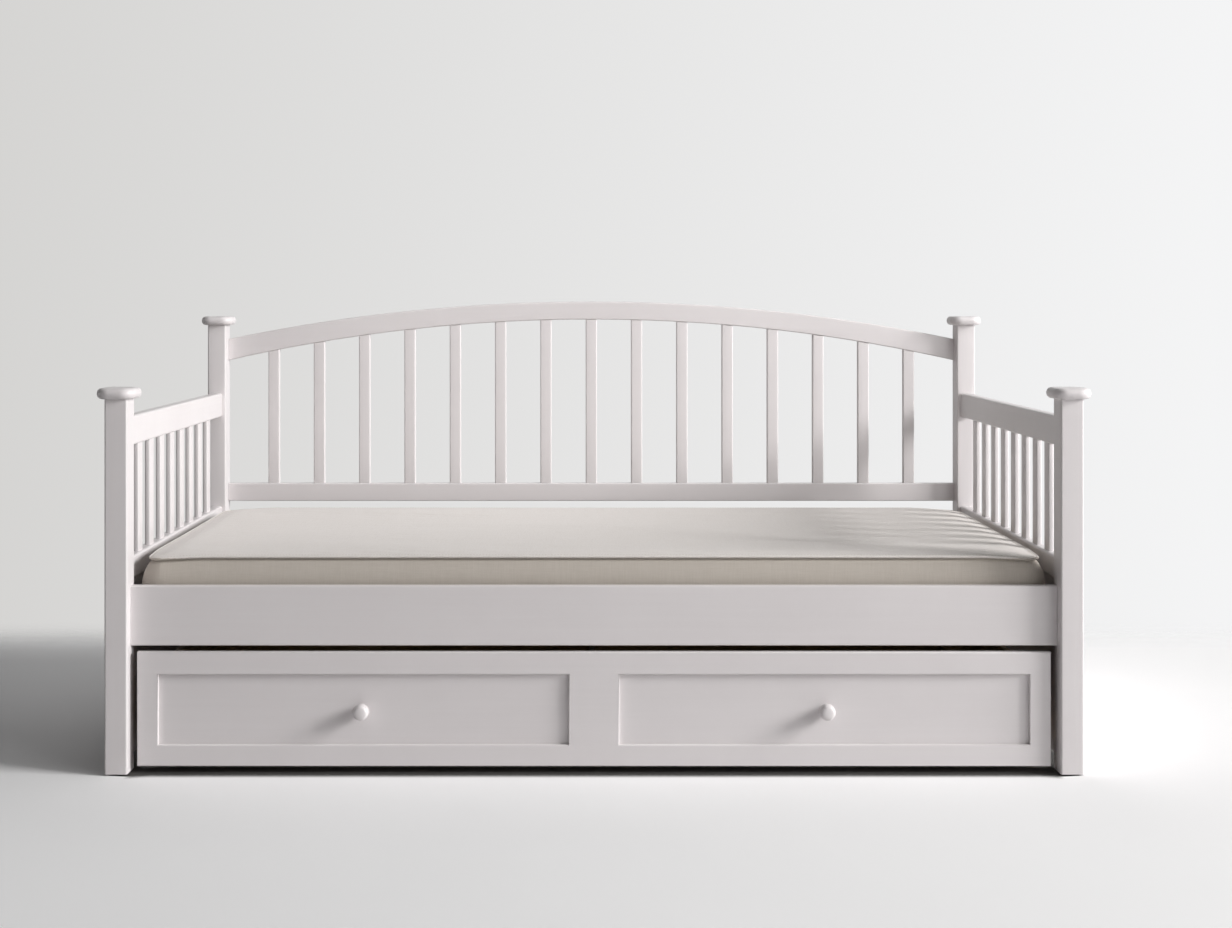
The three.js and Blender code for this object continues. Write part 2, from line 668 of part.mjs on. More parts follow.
// The drawer front: one frame with two openings, and a flat panel set back in each
function addDrawerFront(group) {
  const top = drawerFrontTop;
  const openingLow = drawerFloorGap + frontBottomRailHeight;
  const openingHigh = top - frontTopRailHeight;
  const openingNear = mullionWidth / 2;
  const openingFar = drawerFrontEndX - stileWidth;
  const corners = (x0, x1, z0, z1) => [
    new THREE.Vector2(x0, z0),
    new THREE.Vector2(x1, z0),
    new THREE.Vector2(x1, z1),
    new THREE.Vector2(x0, z1),
  ];
  const lap = openingNear / 2;
  const back = drawerFrontY + drawerFrontThickness;
  const half = (x0, x1, near, far) => {
    const outline = new THREE.Shape(corners(x0, x1, drawerFloorGap, top));
    outline.holes.push(new THREE.Path(corners(near, far, openingLow, openingHigh)));
    return solidOf(board(outline, drawerFrontY, back, drawerFrontEdge));
  };
  const leftHalf = half(-drawerFrontEndX, lap, -openingFar, -openingNear);
  let frame = leftHalf.add(half(-lap, drawerFrontEndX, openingNear, openingFar));

  const panelFront = drawerFrontY + panelRecess;
  const panelBack = panelFront + panelThickness;
  const sides = [['left', -openingFar, -openingNear], ['right', openingNear, openingFar]];
  sides.forEach(([side, x0, x1]) => {
    const low = vector(x0 - panelLap, panelFront, openingLow - panelLap);
    const high = vector(x1 + panelLap, panelBack, openingHigh + panelLap);
    const rebateLow = low.clone().subScalar(fit);
    const rebateHigh = high.clone().addScalar(fit);
    rebateHigh.y = back + overrun;
    frame = frame.subtract(solidOf(block(rebateLow, rebateHigh)));
    addPiece(group, `drawer_${side}_panel`, block(low, high), paint);
    const middleX = (x0 + x1) / 2;
    const knobX = middleX + Math.sign(middleX) * knobShift;
    const knobZ = (openingLow + openingHigh) / 2 - knobDrop;
    addPiece(group, `drawer_${side}_knob`, knobGeometry(knobX, panelFront - fit, knobZ), paint);
  });
  addPiece(group, 'drawer_front_frame', geometryOf(frame), paint);
}

// The drawer box stands on one bottom board, and a divider parts it in two
function addDrawerBox(group) {
  const innerX = drawerBoxX - drawerSideThickness;
  const backFace = drawerBoxBack - drawerSideThickness;
  const bottomLow = vector(-drawerBoxX, drawerBoxFront, drawerBottomUnderside);
  const bottomHigh = vector(drawerBoxX, drawerBoxBack, drawerBottomUnderside + drawerBottomThickness);
  addPiece(group, 'drawer_bottom', bar('x', bottomLow, bottomHigh, drawerSideEdge), boardFinish);

  const sideFront = vector(0, drawerBoxFront, drawerSideBottom);
  const sideRear = vector(0, drawerBoxBack, drawerSideTop);
  const leftLow = sideFront.clone().setX(-drawerBoxX);
  const leftHigh = sideRear.clone().setX(-innerX);
  const rightLow = sideFront.clone().setX(innerX);
  const rightHigh = sideRear.clone().setX(drawerBoxX);
  addPiece(group, 'drawer_left_side', bar('y', leftLow, leftHigh, drawerSideEdge), boardFinish);
  addPiece(group, 'drawer_right_side', bar('y', rightLow, rightHigh, drawerSideEdge), boardFinish);

  const backLow = vector(fit - innerX, backFace, drawerSideBottom);
  const backHigh = vector(innerX - fit, drawerBoxBack, drawerSideTop);
  addPiece(group, 'drawer_back', bar('x', backLow, backHigh, drawerSideEdge), boardFinish);

  const dividerLow = vector(-dividerThickness / 2, drawerBoxFront, drawerSideBottom);
  const dividerHigh = vector(dividerThickness / 2, backFace - fit, drawerSideTop - dividerDrop);
  addPiece(group, 'drawer_divider', bar('y', dividerLow, dividerHigh, drawerSideEdge), boardFinish);
}

// A caster: a steel bracket whose axle is riveted in its two cheeks, and a wheel that turns on the axle
function addCaster(group, name, x, y) {
  const plateBottom = casterTop - bracketPlateThickness;
  const cheekInner = wheelWidth / 2 + wheelSideGap;
  const cheekOuter = cheekInner + cheekThickness;
  const plateHalfWidth = cheekOuter + bracketPlateFlange;
  const plateLow = vector(x - plateHalfWidth, y - bracketPlateLength / 2, plateBottom);
  const plateHigh = vector(x + plateHalfWidth, y + bracketPlateLength / 2, casterTop);
  let bracket = solidOf(block(plateLow, plateHigh));

  const cheekShape = new THREE.Shape();
  cheekShape.moveTo(-cheekTopWidth / 2, plateBottom + bracketPlateThickness / 2);
  cheekShape.absarc(0, wheelRadius, cheekEndRadius, Math.PI, 2 * Math.PI);
  cheekShape.lineTo(cheekTopWidth / 2, plateBottom + bracketPlateThickness / 2);
  cheekShape.closePath();
  [-cheekOuter, cheekInner].forEach((from) => {
    const options = { depth: cheekThickness, bevelEnabled: false, curveSegments: 2 * edgeSteps };
    const cheek = new THREE.ExtrudeGeometry(cheekShape, options);
    cheek.applyMatrix4(turnTo.x);
    cheek.translate(x + from, y, 0);
    bracket = bracket.add(solidOf(cheek));
  });
  const axleLength = 2 * (cheekOuter + axleHeadLength);
  const axle = new THREE.CylinderGeometry(axleRadius, axleRadius, axleLength, axleSides);
  axle.rotateZ(Math.PI / 2);
  axle.translate(x, y, wheelRadius);
  bracket = bracket.add(solidOf(axle));
  addPiece(group, `caster_bracket_${name}`, geometryOf(bracket), steel);

  const bore = (axleRadius + axleGap) / Math.cos(Math.PI / wheelSides);
  const tread = wheelRadius - (wheelWidth - wheelRimWidth) / 2;
  const halfHub = wheelWidth / 2;
  const halfRim = wheelRimWidth / 2;
  const profile = [
    new THREE.Vector2(bore, -halfHub),
    new THREE.Vector2(hubRadius, -halfHub),
    new THREE.Vector2(hubRadius, -halfRim),
    new THREE.Vector2(tread, -halfRim),
    new THREE.Vector2(wheelRadius, -halfRim / 2),
    new THREE.Vector2(wheelRadius, halfRim / 2),
    new THREE.Vector2(tread, halfRim),
    new THREE.Vector2(hubRadius, halfRim),
    new THREE.Vector2(hubRadius, halfHub),
    new THREE.Vector2(bore, halfHub),
    new THREE.Vector2(bore, -halfHub),
  ];
  const wheel = new THREE.LatheGeometry(profile, wheelSides);
  wheel.rotateZ(Math.PI / 2);
  wheel.translate(x, y, wheelRadius);
  addPiece(group, `caster_wheel_${name}`, geometryOf(solidOf(wheel)), wheelPlastic);
}

function addCasters(group) {
  const x = drawerBoxX - casterSideInset;
  const yFront = drawerBoxFront + casterEndInset;
  const yRear = drawerBoxBack - casterEndInset;
  addCaster(group, 'front_left', -x, yFront);
  addCaster(group, 'front_right', x, yFront);
  addCaster(group, 'rear_left', -x, yRear);
  addCaster(group, 'rear_right', x, yRear);
}

const bed = new THREE.Group();
const drawer = new THREE.Group();
const bedding = new THREE.Group();

addArm(bed, 'left', -postCentreX);
addArm(bed, 'right', postCentreX);
addBack(bed);
addPosts(bed);
addRails(bed);
addSlats(bed);
addMattress(bedding);
addDrawerFront(drawer);
addDrawerBox(drawer);
addCasters(drawer);

const daybed = new THREE.Group();
daybed.add(bed, drawer, bedding);

export default daybed;
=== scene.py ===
import json
import math

import bpy
import numpy as np
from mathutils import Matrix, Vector
from mathutils.kdtree import KDTree


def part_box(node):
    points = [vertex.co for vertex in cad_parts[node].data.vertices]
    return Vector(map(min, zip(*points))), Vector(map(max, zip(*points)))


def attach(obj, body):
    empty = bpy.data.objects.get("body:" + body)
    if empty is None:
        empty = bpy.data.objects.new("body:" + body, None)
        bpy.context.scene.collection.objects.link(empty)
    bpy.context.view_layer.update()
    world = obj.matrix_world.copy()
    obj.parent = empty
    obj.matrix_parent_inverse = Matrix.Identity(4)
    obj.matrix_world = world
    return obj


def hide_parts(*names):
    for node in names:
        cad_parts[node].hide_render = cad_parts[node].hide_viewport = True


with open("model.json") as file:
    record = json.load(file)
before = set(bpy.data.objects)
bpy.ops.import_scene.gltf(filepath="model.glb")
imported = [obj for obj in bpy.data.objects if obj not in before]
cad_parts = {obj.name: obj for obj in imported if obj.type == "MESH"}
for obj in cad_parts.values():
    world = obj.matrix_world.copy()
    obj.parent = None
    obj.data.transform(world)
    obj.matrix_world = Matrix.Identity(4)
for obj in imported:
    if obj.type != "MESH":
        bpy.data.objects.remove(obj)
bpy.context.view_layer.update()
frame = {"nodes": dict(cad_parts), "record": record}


# The camera stands before the bed, a little left of its middle, and looks straight along +Y

FOCAL_PX = 1793.0
IMAGE_WIDTH_PX = 1232.0
SENSOR_MM = 36.0
CAMERA_PLACE = (-0.0258, -4.262, 0.981)
CAMERA_SHIFT = (0.0279, -0.1307)


def make_camera():
    data = bpy.data.cameras.new("camera")
    data.sensor_width = SENSOR_MM
    data.sensor_fit = "HORIZONTAL"
    data.lens = FOCAL_PX / IMAGE_WIDTH_PX * SENSOR_MM
    data.shift_x, data.shift_y = CAMERA_SHIFT
    made = bpy.data.objects.new("camera", data)
    made.location = CAMERA_PLACE
    made.rotation_euler = (math.pi / 2, 0.0, 0.0)
    bpy.context.scene.collection.objects.link(made)
    bpy.context.scene.camera = made


make_camera()


# Sizes in metres, from the boxes of the solids where they show them


def rounded_box(name):
    """A solid's low and high corners, rounded to a tenth of a millimetre."""
    low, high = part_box(name)
    return [round(low[k], 4) for k in range(3)], [round(high[k], 4) for k in range(3)]


CROWN = 0.0040  # of the mattress's top over its seam
mattress_low, mattress_high = rounded_box("mattress")
MATTRESS_LENGTH = mattress_high[0] - mattress_low[0]
MATTRESS_WIDTH = mattress_high[1] - mattress_low[1]
MATTRESS_MIDDLE_Y = (mattress_low[1] + mattress_high[1]) / 2
MATTRESS_LOW = mattress_low[2]
MATTRESS_HIGH = mattress_high[2] - CROWN
MATTRESS_CORNER = 0.042
LEAST_CORNER = 0.020  # of the rings well inside the outline
MATTRESS_DRAW_IN = 0.003  # of a side's middle
END_BULGE = 0.011  # of the short sides, which the foam pushes out most
END_SHARE = 12  # the bulge begins in this last part of each half of the length
SIDE_ROUND = 0.007  # how far the sides fall back from their middle to the piping
PIPING_RADIUS = 0.0026
CORNER_DIP = 0.006  # how far the top falls at its corners
CORNER_REACH = 0.13  # how far from a corner the fall begins

SLATS = 14  # in the slat roll
STRAP_SPACING = 0.32
STRAP_HALF_WIDTH = 0.0202
STRAP_THICKNESS = 0.0021  # with a little room over it
strap_top = rounded_box("slat_roll")[0][2] + STRAP_THICKNESS
post_low, post_high = rounded_box("front_right_post")
post_inner_x, post_front_y = post_low[0], post_low[1]
post_outer_x = post_high[0]

rng = np.random.default_rng(41)


# Materials

USUAL = (0.3, 0.7)  # between these lie most of a noise's values


class Nodes:
    """The node tree of a material or a world, filled with short calls."""

    def __init__(self, tree, coordinates):
        self.tree = tree
        self.coords = self.node("ShaderNodeTexCoord").outputs[coordinates]

    def node(self, kind, **values):
        made = self.tree.nodes.new(kind)
        for key, value in values.items():
            setattr(made, key, value)
        return made

    def link(self, source, target):
        self.tree.links.new(source, target)

    def feed(self, socket, value):
        """Sets a socket to a number or a colour, or links another node's output to it."""
        if isinstance(value, (int, float)):
            socket.default_value = value
        elif isinstance(value, tuple):
            socket.default_value = (*value, 1.0)
        else:
            self.link(value, socket)

    def split(self, vector):
        """A vector's three parts."""
        made = self.node("ShaderNodeSeparateXYZ")
        self.link(vector, made.inputs["Vector"])
        return made.outputs

    def scaled(self, scale, source=None):
        made = self.node("ShaderNodeMapping")
        made.inputs["Scale"].default_value = scale
        self.link(source or self.coords, made.inputs["Vector"])
        return made.outputs["Vector"]

    def noise(self, vector, scale, detail=2.0, roughness=0.5, distortion=0.0, output="Fac"):
        made = self.node("ShaderNodeTexNoise")
        made.inputs["Scale"].default_value = scale
        made.inputs["Detail"].default_value = detail
        made.inputs["Roughness"].default_value = roughness
        made.inputs["Distortion"].default_value = distortion
        self.link(vector, made.inputs["Vector"])
        return made.outputs[output]

    def drawn_out(self, axis, lengthwise, crosswise, detail=3.0, roughness=0.6, distortion=0.0):
        """Noise with so many cells to the metre along an axis, and so many across it."""
        scale = [crosswise] * 3
        scale["xyz".index(axis)] = lengthwise
        return self.noise(self.scaled(tuple(scale)), 1.0, detail, roughness, distortion)

    def math(self, operation, a, b=None, clamp=False):
        made = self.node("ShaderNodeMath", operation=operation, use_clamp=clamp)
        self.feed(made.inputs[0], a)
        if b is not None:
            self.feed(made.inputs[1], b)
        return made.outputs["Value"]

    def blend(self, a, share, b):
        """A share of one value and the rest of another."""
        return self.math("ADD", self.math("MULTIPLY", a, share), self.math("MULTIPLY", b, 1.0 - share))

    def span(self, value, low, high, to_low, to_high, kind="LINEAR"):
        """A value carried over from one range to another, and held at its ends."""
        made = self.node("ShaderNodeMapRange", interpolation_type=kind)
        self.feed(made.inputs["Value"], value)
        self.feed(made.inputs["From Min"], low)
        self.feed(made.inputs["From Max"], high)
        self.feed(made.inputs["To Min"], to_low)
        self.feed(made.inputs["To Max"], to_high)
        return made.outputs["Result"]

    def mix(self, factor, a, b):
        """A colour between two."""
        made = self.node("ShaderNodeMix", data_type="RGBA")
        # of this node's sockets, 0 is the factor, and 6 and 7 are the two colours
        for number, value in ((0, factor), (6, a), (7, b)):
            self.feed(made.inputs[number], value)
        return made.outputs[2]

    def looked_at(self):
        """One for camera, glossy and transmission rays, and nothing for those that only carry light."""
        path = self.node("ShaderNodeLightPath").outputs
        seen = self.math("MAXIMUM", path["Is Camera Ray"], path["Is Glossy Ray"])
        return self.math("MAXIMUM", seen, path["Is Transmission Ray"])


class Shader(Nodes):
    """A material's nodes."""

    def __init__(self, name):
        self.material = bpy.data.materials.new(name)
        self.material.use_nodes = True
        super().__init__(self.material.node_tree, "Object")
        self.bsdf = self.tree.nodes["Principled BSDF"]

    def bump(self, height, depth, strength, below=None):
        made = self.node("ShaderNodeBump")
        made.inputs["Distance"].default_value = depth
        made.inputs["Strength"].default_value = strength
        self.link(height, made.inputs["Height"])
        if below is not None:
            self.link(below, made.inputs["Normal"])
        return made.outputs["Normal"]

    def finish(self, color, roughness, normal, **constants):
        for name, source in (("Base Color", color), ("Roughness", roughness), ("Normal", normal)):
            if source is not None:
                self.link(source, self.bsdf.inputs[name])
        for name, value in constants.items():
            self.bsdf.inputs[name.replace("_", " ")].default_value = value
        return self.material


def paint(axis, light, dark, gloss):
    """Satin paint, brushed along the board, over wood whose grain just shows through it."""
    s = Shader(f"paint_{axis}_{int(gloss * 100)}")
    brush = s.drawn_out(axis, 9.0, 520.0)
    peel = s.noise(s.coords, 620.0, detail=1.0)
    grain = s.drawn_out(axis, 2.2, 95.0, detail=4.0, roughness=0.62, distortion=0.5)
    cloud = s.noise(s.coords, 4.5, detail=3.0)
    handled = s.noise(s.coords, 17.0, detail=4.0, roughness=0.6)
    color = s.mix(s.span(s.blend(cloud, 0.62, grain), *USUAL, 0.0, 1.0), dark, light)
    roughness = s.span(s.blend(brush, 0.45, handled), *USUAL, gloss - 0.07, gloss + 0.08)
    normal = s.bump(grain, depth=0.00012, strength=0.55)
    normal = s.bump(brush, depth=0.00007, strength=0.6, below=normal)
    normal = s.bump(peel, depth=0.00004, strength=0.6, below=normal)
    return s.finish(color, roughness, normal, Specular_IOR_Level=0.42, Coat_Weight=0.06, Coat_Roughness=0.28)


def webbing(s):
    """Where the slats' cotton straps are, and the straps' colour."""
    x, y, z = s.split(s.coords)
    in_line = s.math("LESS_THAN", s.math("PINGPONG", y, STRAP_SPACING / 2), STRAP_HALF_WIDTH)
    webbed = s.math("MULTIPLY", in_line, s.math("LESS_THAN", z, strap_top))
    warp = s.math("SINE", s.math("MULTIPLY", x, 2600.0))
    weft = s.math("SINE", s.math("MULTIPLY", y, 3400.0))
    weave = s.span(s.math("MULTIPLY", warp, weft), -1.0, 1.0, 0.0, 1.0)
    return webbed, s.mix(weave, (0.50, 0.45, 0.36), (0.70, 0.65, 0.55))


def bare_wood(axis, straps=False):
    """Planed softwood with growth rings and fine pores; the slats also carry cotton straps."""
    early, late = (0.70, 0.54, 0.36), (0.47, 0.30, 0.15)
    pore, bleached = (0.36, 0.23, 0.12), (0.78, 0.64, 0.46)
    s = Shader(f"bare_wood_{axis}{'_strapped' if straps else ''}")
    warp = s.drawn_out(axis, 1.1, 9.0, roughness=0.55)
    rings_at = s.drawn_out(axis, 0.9, 34.0, roughness=0.5, distortion=1.4)
    rings = s.math("FRACT", s.math("ADD", s.math("MULTIPLY", rings_at, 7.0), warp))
    late_share = s.math("POWER", rings, 3.0)
    pores = s.drawn_out(axis, 24.0, 1500.0, roughness=0.7)
    color = s.mix(late_share, early, late)
    color = s.mix(s.span(pores, 0.48, 0.72, 0.0, 0.35), color, pore)
    color = s.mix(s.span(warp, *USUAL, 0.0, 0.3), color, bleached)
    roughness = s.span(pores, *USUAL, 0.52, 0.74)
    normal = s.bump(late_share, depth=0.0001, strength=0.5)
    normal = s.bump(pores, depth=0.00009, strength=0.5, below=normal)
    if straps:
        webbed, cotton = webbing(s)
        color = s.mix(webbed, color, cotton)
        roughness = s.math("ADD", s.math("MULTIPLY", webbed, 0.25), roughness, clamp=True)
    return s.finish(color, roughness, normal, Specular_IOR_Level=0.35)


THREAD_PITCH = 0.0011
THREAD_WANDER = 0.0012  # of the threads from their straight lines
CREASE_LEAN = math.radians(20.0)  # of the cover's fine creases, from the length of the bed


def woven(s):
    """Warp and weft threads, which wander a little."""
    wander = s.noise(s.coords, 22.0, output="Color")
    pulled = s.node("ShaderNodeVectorMath", operation="MULTIPLY_ADD")
    s.link(wander, pulled.inputs[0])
    pulled.inputs[1].default_value = (THREAD_WANDER,) * 3
    s.link(s.coords, pulled.inputs[2])
    x, y, z = s.split(pulled.outputs["Vector"])
    thread = 2 * math.pi / THREAD_PITCH
    warp = s.math("SINE", s.math("MULTIPLY", x, thread))
    weft = s.math("SINE", s.math("MULTIPLY", s.math("ADD", y, z), thread))
    return s.math("MULTIPLY", warp, weft)


def fine_creases(s):
    """Long shallow creases, which lean from the length of the bed."""
    leaning = s.node("ShaderNodeMapping")
    leaning.inputs["Rotation"].default_value = (0.0, 0.0, CREASE_LEAN)
    s.link(s.coords, leaning.inputs["Vector"])
    drawn = s.scaled((4.0, 52.0, 52.0), leaning.outputs["Vector"])
    return s.noise(drawn, 1.0, detail=4.0, roughness=0.55, distortion=0.8)


def ticking(name, light, dark, thread_gap, sheen):
    """Woven cotton cover: warp and weft threads, slubs, soft creases and a faint sheen."""
    s = Shader(name)
    weave = woven(s)
    slubs = s.drawn_out("x", 26.0, 900.0)
    slubs_across = s.drawn_out("x", 900.0, 30.0, detail=2.0)
    stain = s.noise(s.coords, 2.6, detail=4.0, roughness=0.55)
    tone = s.blend(slubs, 0.5, slubs_across)
    stained = tuple(0.95 * part for part in light)
    color = s.mix(s.span(tone, 0.32, 0.68, 0.0, 1.0), dark, light)
    color = s.mix(s.span(stain, 0.35, 0.7, 0.0, 0.3), color, stained)
    color = s.mix(s.span(weave, -1.0, 1.0, 0.14, 0.0), color, thread_gap)
    roughness = s.span(tone, *USUAL, 0.84, 0.97)
    normal = s.bump(fine_creases(s), depth=0.0012, strength=0.5)
    normal = s.bump(slubs, depth=0.00016, strength=0.45, below=normal)
    normal = s.bump(weave, depth=0.00012, strength=0.5, below=normal)
    return s.finish(
        color, roughness, normal, Specular_IOR_Level=0.2, Sheen_Weight=sheen, Sheen_Roughness=0.55,
    )


def plywood(axis):
    """Lacquered birch plywood: pale figure along the board, fine rays and pores."""
    pale, dark, pore = (0.655, 0.520, 0.372), (0.560, 0.425, 0.286), (0.44, 0.31, 0.20)
    s = Shader(f"birch_plywood_{axis}")
    figure = s.drawn_out(axis, 1.6, 13.0, detail=4.0, distortion=1.8)
    bands = s.math("PINGPONG", s.math("MULTIPLY", figure, 5.0), 0.5)
    rays = s.drawn_out(axis, 60.0, 900.0, roughness=0.65)
    color = s.mix(s.span(bands, 0.0, 0.5, 0.0, 1.0), pale, dark)
    color = s.mix(s.span(rays, 0.5, 0.75, 0.0, 0.4), color, pore)
    roughness = s.span(rays, *USUAL, 0.34, 0.50)
    normal = s.bump(bands, depth=0.00006, strength=0.4)
    normal = s.bump(rays, depth=0.00005, strength=0.5, below=normal)
    return s.finish(color, roughness, normal, Specular_IOR_Level=0.45, Coat_Weight=0.15, Coat_Roughness=0.25)


def plastic(name, dark, light, gloss):
    """Moulded plastic with a fine texture, dusty patches and rubbed ones."""
    s = Shader(name)
    grit = s.noise(s.coords, 1900.0, detail=3.0, roughness=0.6)
    patches = s.noise(s.coords, 95.0, detail=4.0, roughness=0.6)
    color = s.mix(s.span(patches, 0.35, 0.7, 0.0, 1.0), dark, light)
    roughness = s.span(patches, *USUAL, gloss - 0.08, gloss + 0.14)
    return s.finish(color, roughness, s.bump(grit, depth=0.00008, strength=0.6), Specular_IOR_Level=0.45)


def zinc(name, axis):
    """Zinc-plated pressed steel: faint rolling lines, spangle and duller patches."""
    bright, grey, tarnished = (0.58, 0.59, 0.60), (0.42, 0.43, 0.45), (0.50, 0.47, 0.42)
    s = Shader(name)
    lines = s.drawn_out(axis, 40.0, 1400.0)
    spangle = s.node("ShaderNodeTexVoronoi", feature="F1")
    spangle.inputs["Scale"].default_value = 260.0
    s.link(s.coords, spangle.inputs["Vector"])
    dull = s.noise(s.coords, 60.0, detail=4.0, roughness=0.6)
    color = s.mix(s.span(spangle.outputs["Distance"], 0.1, 0.8, 0.0, 1.0), bright, grey)
    color = s.mix(s.span(dull, 0.5, 0.75, 0.0, 0.4), color, tarnished)
    roughness = s.span(dull, *USUAL, 0.24, 0.46)
    return s.finish(color, roughness, s.bump(lines, depth=0.00005, strength=0.6), Metallic=1.0)


PAINT_LIGHT = (0.720, 0.688, 0.692)
PAINT_DARK = (0.688, 0.654, 0.658)
paints = {axis: paint(axis, PAINT_LIGHT, PAINT_DARK, gloss=0.40) for axis in "xyz"}
boards = {axis: plywood(axis) for axis in "xyz"}
woods = {"x": bare_wood("x"), "y": bare_wood("y", straps=True)}
cover = ticking(
    "ticking_top", light=(0.784, 0.747, 0.720), dark=(0.700, 0.656, 0.622), thread_gap=(0.46, 0.42, 0.38),
    sheen=0.20,
)
# the border cloth is browner than the top's, and darker as well to paint the shade of the mattress's sides
border = ticking(
    "ticking_border_painted_shade", light=(0.565, 0.520, 0.468), dark=(0.480, 0.436, 0.384), thread_gap=(0.33, 0.29, 0.25),
    sheen=0.12,
)
thread = ticking(
    "sewing_thread", light=(0.70, 0.66, 0.60), dark=(0.60, 0.56, 0.50), thread_gap=(0.40, 0.36, 0.31),
    sheen=0.10,
)
glide_plastic = plastic("glide_plastic", dark=(0.018, 0.017, 0.016), light=(0.040, 0.038, 0.036), gloss=0.50)
wheel_plastic = plastic("wheel_plastic", dark=(0.055, 0.055, 0.058), light=(0.105, 0.105, 0.108), gloss=0.42)
steel = zinc("zinc_steel", "y")


# CAD nodes: smooth shading across their rounded edges, and a finish that runs along each board

MERGE_DISTANCE = 0.00001
SHARPEST_SMOOTH = math.radians(52.0)  # an edge that turns by more stays sharp
FACE_AREA_WEIGHT = 60


def smooth_group():
    """Merges shared corners and shades smoothly over every edge that turns by less than a limit."""
    group = bpy.data.node_groups.new("smooth_edges", "GeometryNodeTree")
    group.interface.new_socket("Geometry", in_out="INPUT", socket_type="NodeSocketGeometry")
    group.interface.new_socket("Geometry", in_out="OUTPUT", socket_type="NodeSocketGeometry")
    nodes, links = group.nodes, group.links
    start = nodes.new("NodeGroupInput")
    end = nodes.new("NodeGroupOutput")
    merge = nodes.new("GeometryNodeMergeByDistance")
    merge.inputs["Distance"].default_value = MERGE_DISTANCE
    angle = nodes.new("GeometryNodeInputMeshEdgeAngle")
    limit = nodes.new("ShaderNodeMath")
    limit.operation = "LESS_THAN"
    limit.inputs[1].default_value = SHARPEST_SMOOTH
    by_edge = nodes.new("GeometryNodeSetShadeSmooth")
    by_edge.domain = "EDGE"
    by_face = nodes.new("GeometryNodeSetShadeSmooth")
    by_face.domain = "FACE"
    links.new(start.outputs[0], merge.inputs["Geometry"])
    links.new(merge.outputs["Geometry"], by_edge.inputs["Geometry"])
    links.new(angle.outputs["Unsigned Angle"], limit.inputs[0])
    links.new(limit.outputs["Value"], by_edge.inputs["Shade Smooth"])
    links.new(by_edge.outputs["Geometry"], by_face.inputs["Geometry"])
    links.new(by_face.outputs["Geometry"], end.inputs[0])
    return group


smoothing = smooth_group()


def shade(node):
    made = node.modifiers.new("smooth_edges", "NODES")
    made.node_group = smoothing
    weighted = node.modifiers.new("weighted", "WEIGHTED_NORMAL")
    weighted.keep_sharp = True
    weighted.weight = FACE_AREA_WEIGHT


def longest_axis(name):
    low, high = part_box(name)
    size = [high[k] - low[k] for k in range(3)]
    return "xyz"[size.index(max(size))]


FINISHES_BY_AXIS = {"satin_paint": paints, "drawer_board": boards, "bare_wood": woods}
FINISHES = {
    "zinc_steel": steel,
    "wheel_plastic": wheel_plastic,
    "glide_plastic": glide_plastic,
    "mattress_cover": cover,
}


def finish_of(name, slot):
    """A node's material, which runs along a board; the slats of the roll lie across its length."""
    if slot in FINISHES:
        return FINISHES[slot]
    axis = "y" if name == "slat_roll" else longest_axis(name)
    return FINISHES_BY_AXIS[slot][axis]


slots = {entry["node"]: entry["material_slot"] for entry in frame["record"]["subparts"]}
for name, node in frame["nodes"].items():
    node.data.materials.clear()
    node.data.materials.append(finish_of(name, slots[name]))
    shade(node)


# Meshes


def tube_faces(start, rings, count):
    """Faces round a tube of rings that each have as many points; start is its first point's number."""
    faces = []
    for level in range(rings - 1):
        a = start + level * count
        b = a + count
        for k in range(count):
            n = (k + 1) % count
            faces.append((a + k, a + n, b + n, b + k))
    return faces


def closed_tube_faces(start, rings, count):
    """Faces of a tube of rings, with a flat one across each end."""
    last = start + (rings - 1) * count
    faces = tube_faces(start, rings, count)
    faces.append(tuple(range(start + count - 1, start - 1, -1)))
    faces.append(tuple(range(last, last + count)))
    return faces


def new_mesh(name, points, faces):
    mesh = bpy.data.meshes.new(name)
    mesh.from_pydata([tuple(p) for p in points], [], faces)
    return mesh


def smooth(mesh):
    mesh.polygons.foreach_set("use_smooth", [True] * len(mesh.polygons))


def link_piece(name, mesh):
    made = bpy.data.objects.new(name, mesh)
    bpy.context.scene.collection.objects.link(made)
    return made


def coords_of(mesh):
    out = np.empty(len(mesh.vertices) * 3)
    mesh.vertices.foreach_get("co", out)
    return out.reshape(-1, 3)


def set_coords(mesh, points):
    mesh.vertices.foreach_set("co", np.asarray(points, dtype=np.float64).ravel())
    mesh.update()


# The mattress: its cover is a closed mesh of rings, from the bottom's rim round the side to the top's

CELLS_X = 150
CELLS_Y = 76
ARC_STEPS = 6  # of half a corner


def side_point(k, straight, long_half, cross_half, corner, draw_in):
    """A point of a side, along it and out: half a corner, the straight stretch and half a corner."""
    if k < ARC_STEPS:
        angle = math.pi / 4 + k / ARC_STEPS * math.pi / 4
        return long_half - corner + corner * math.cos(angle), cross_half - corner + corner * math.sin(angle)
    if k <= ARC_STEPS + straight:
        t = 1 - 2 * (k - ARC_STEPS) / straight
        return t * (long_half - corner), cross_half - draw_in * (1 - t * t)
    angle = math.pi / 2 + (k - ARC_STEPS - straight) / ARC_STEPS * math.pi / 4
    return corner - long_half + corner * math.cos(angle), cross_half - corner + corner * math.sin(angle)


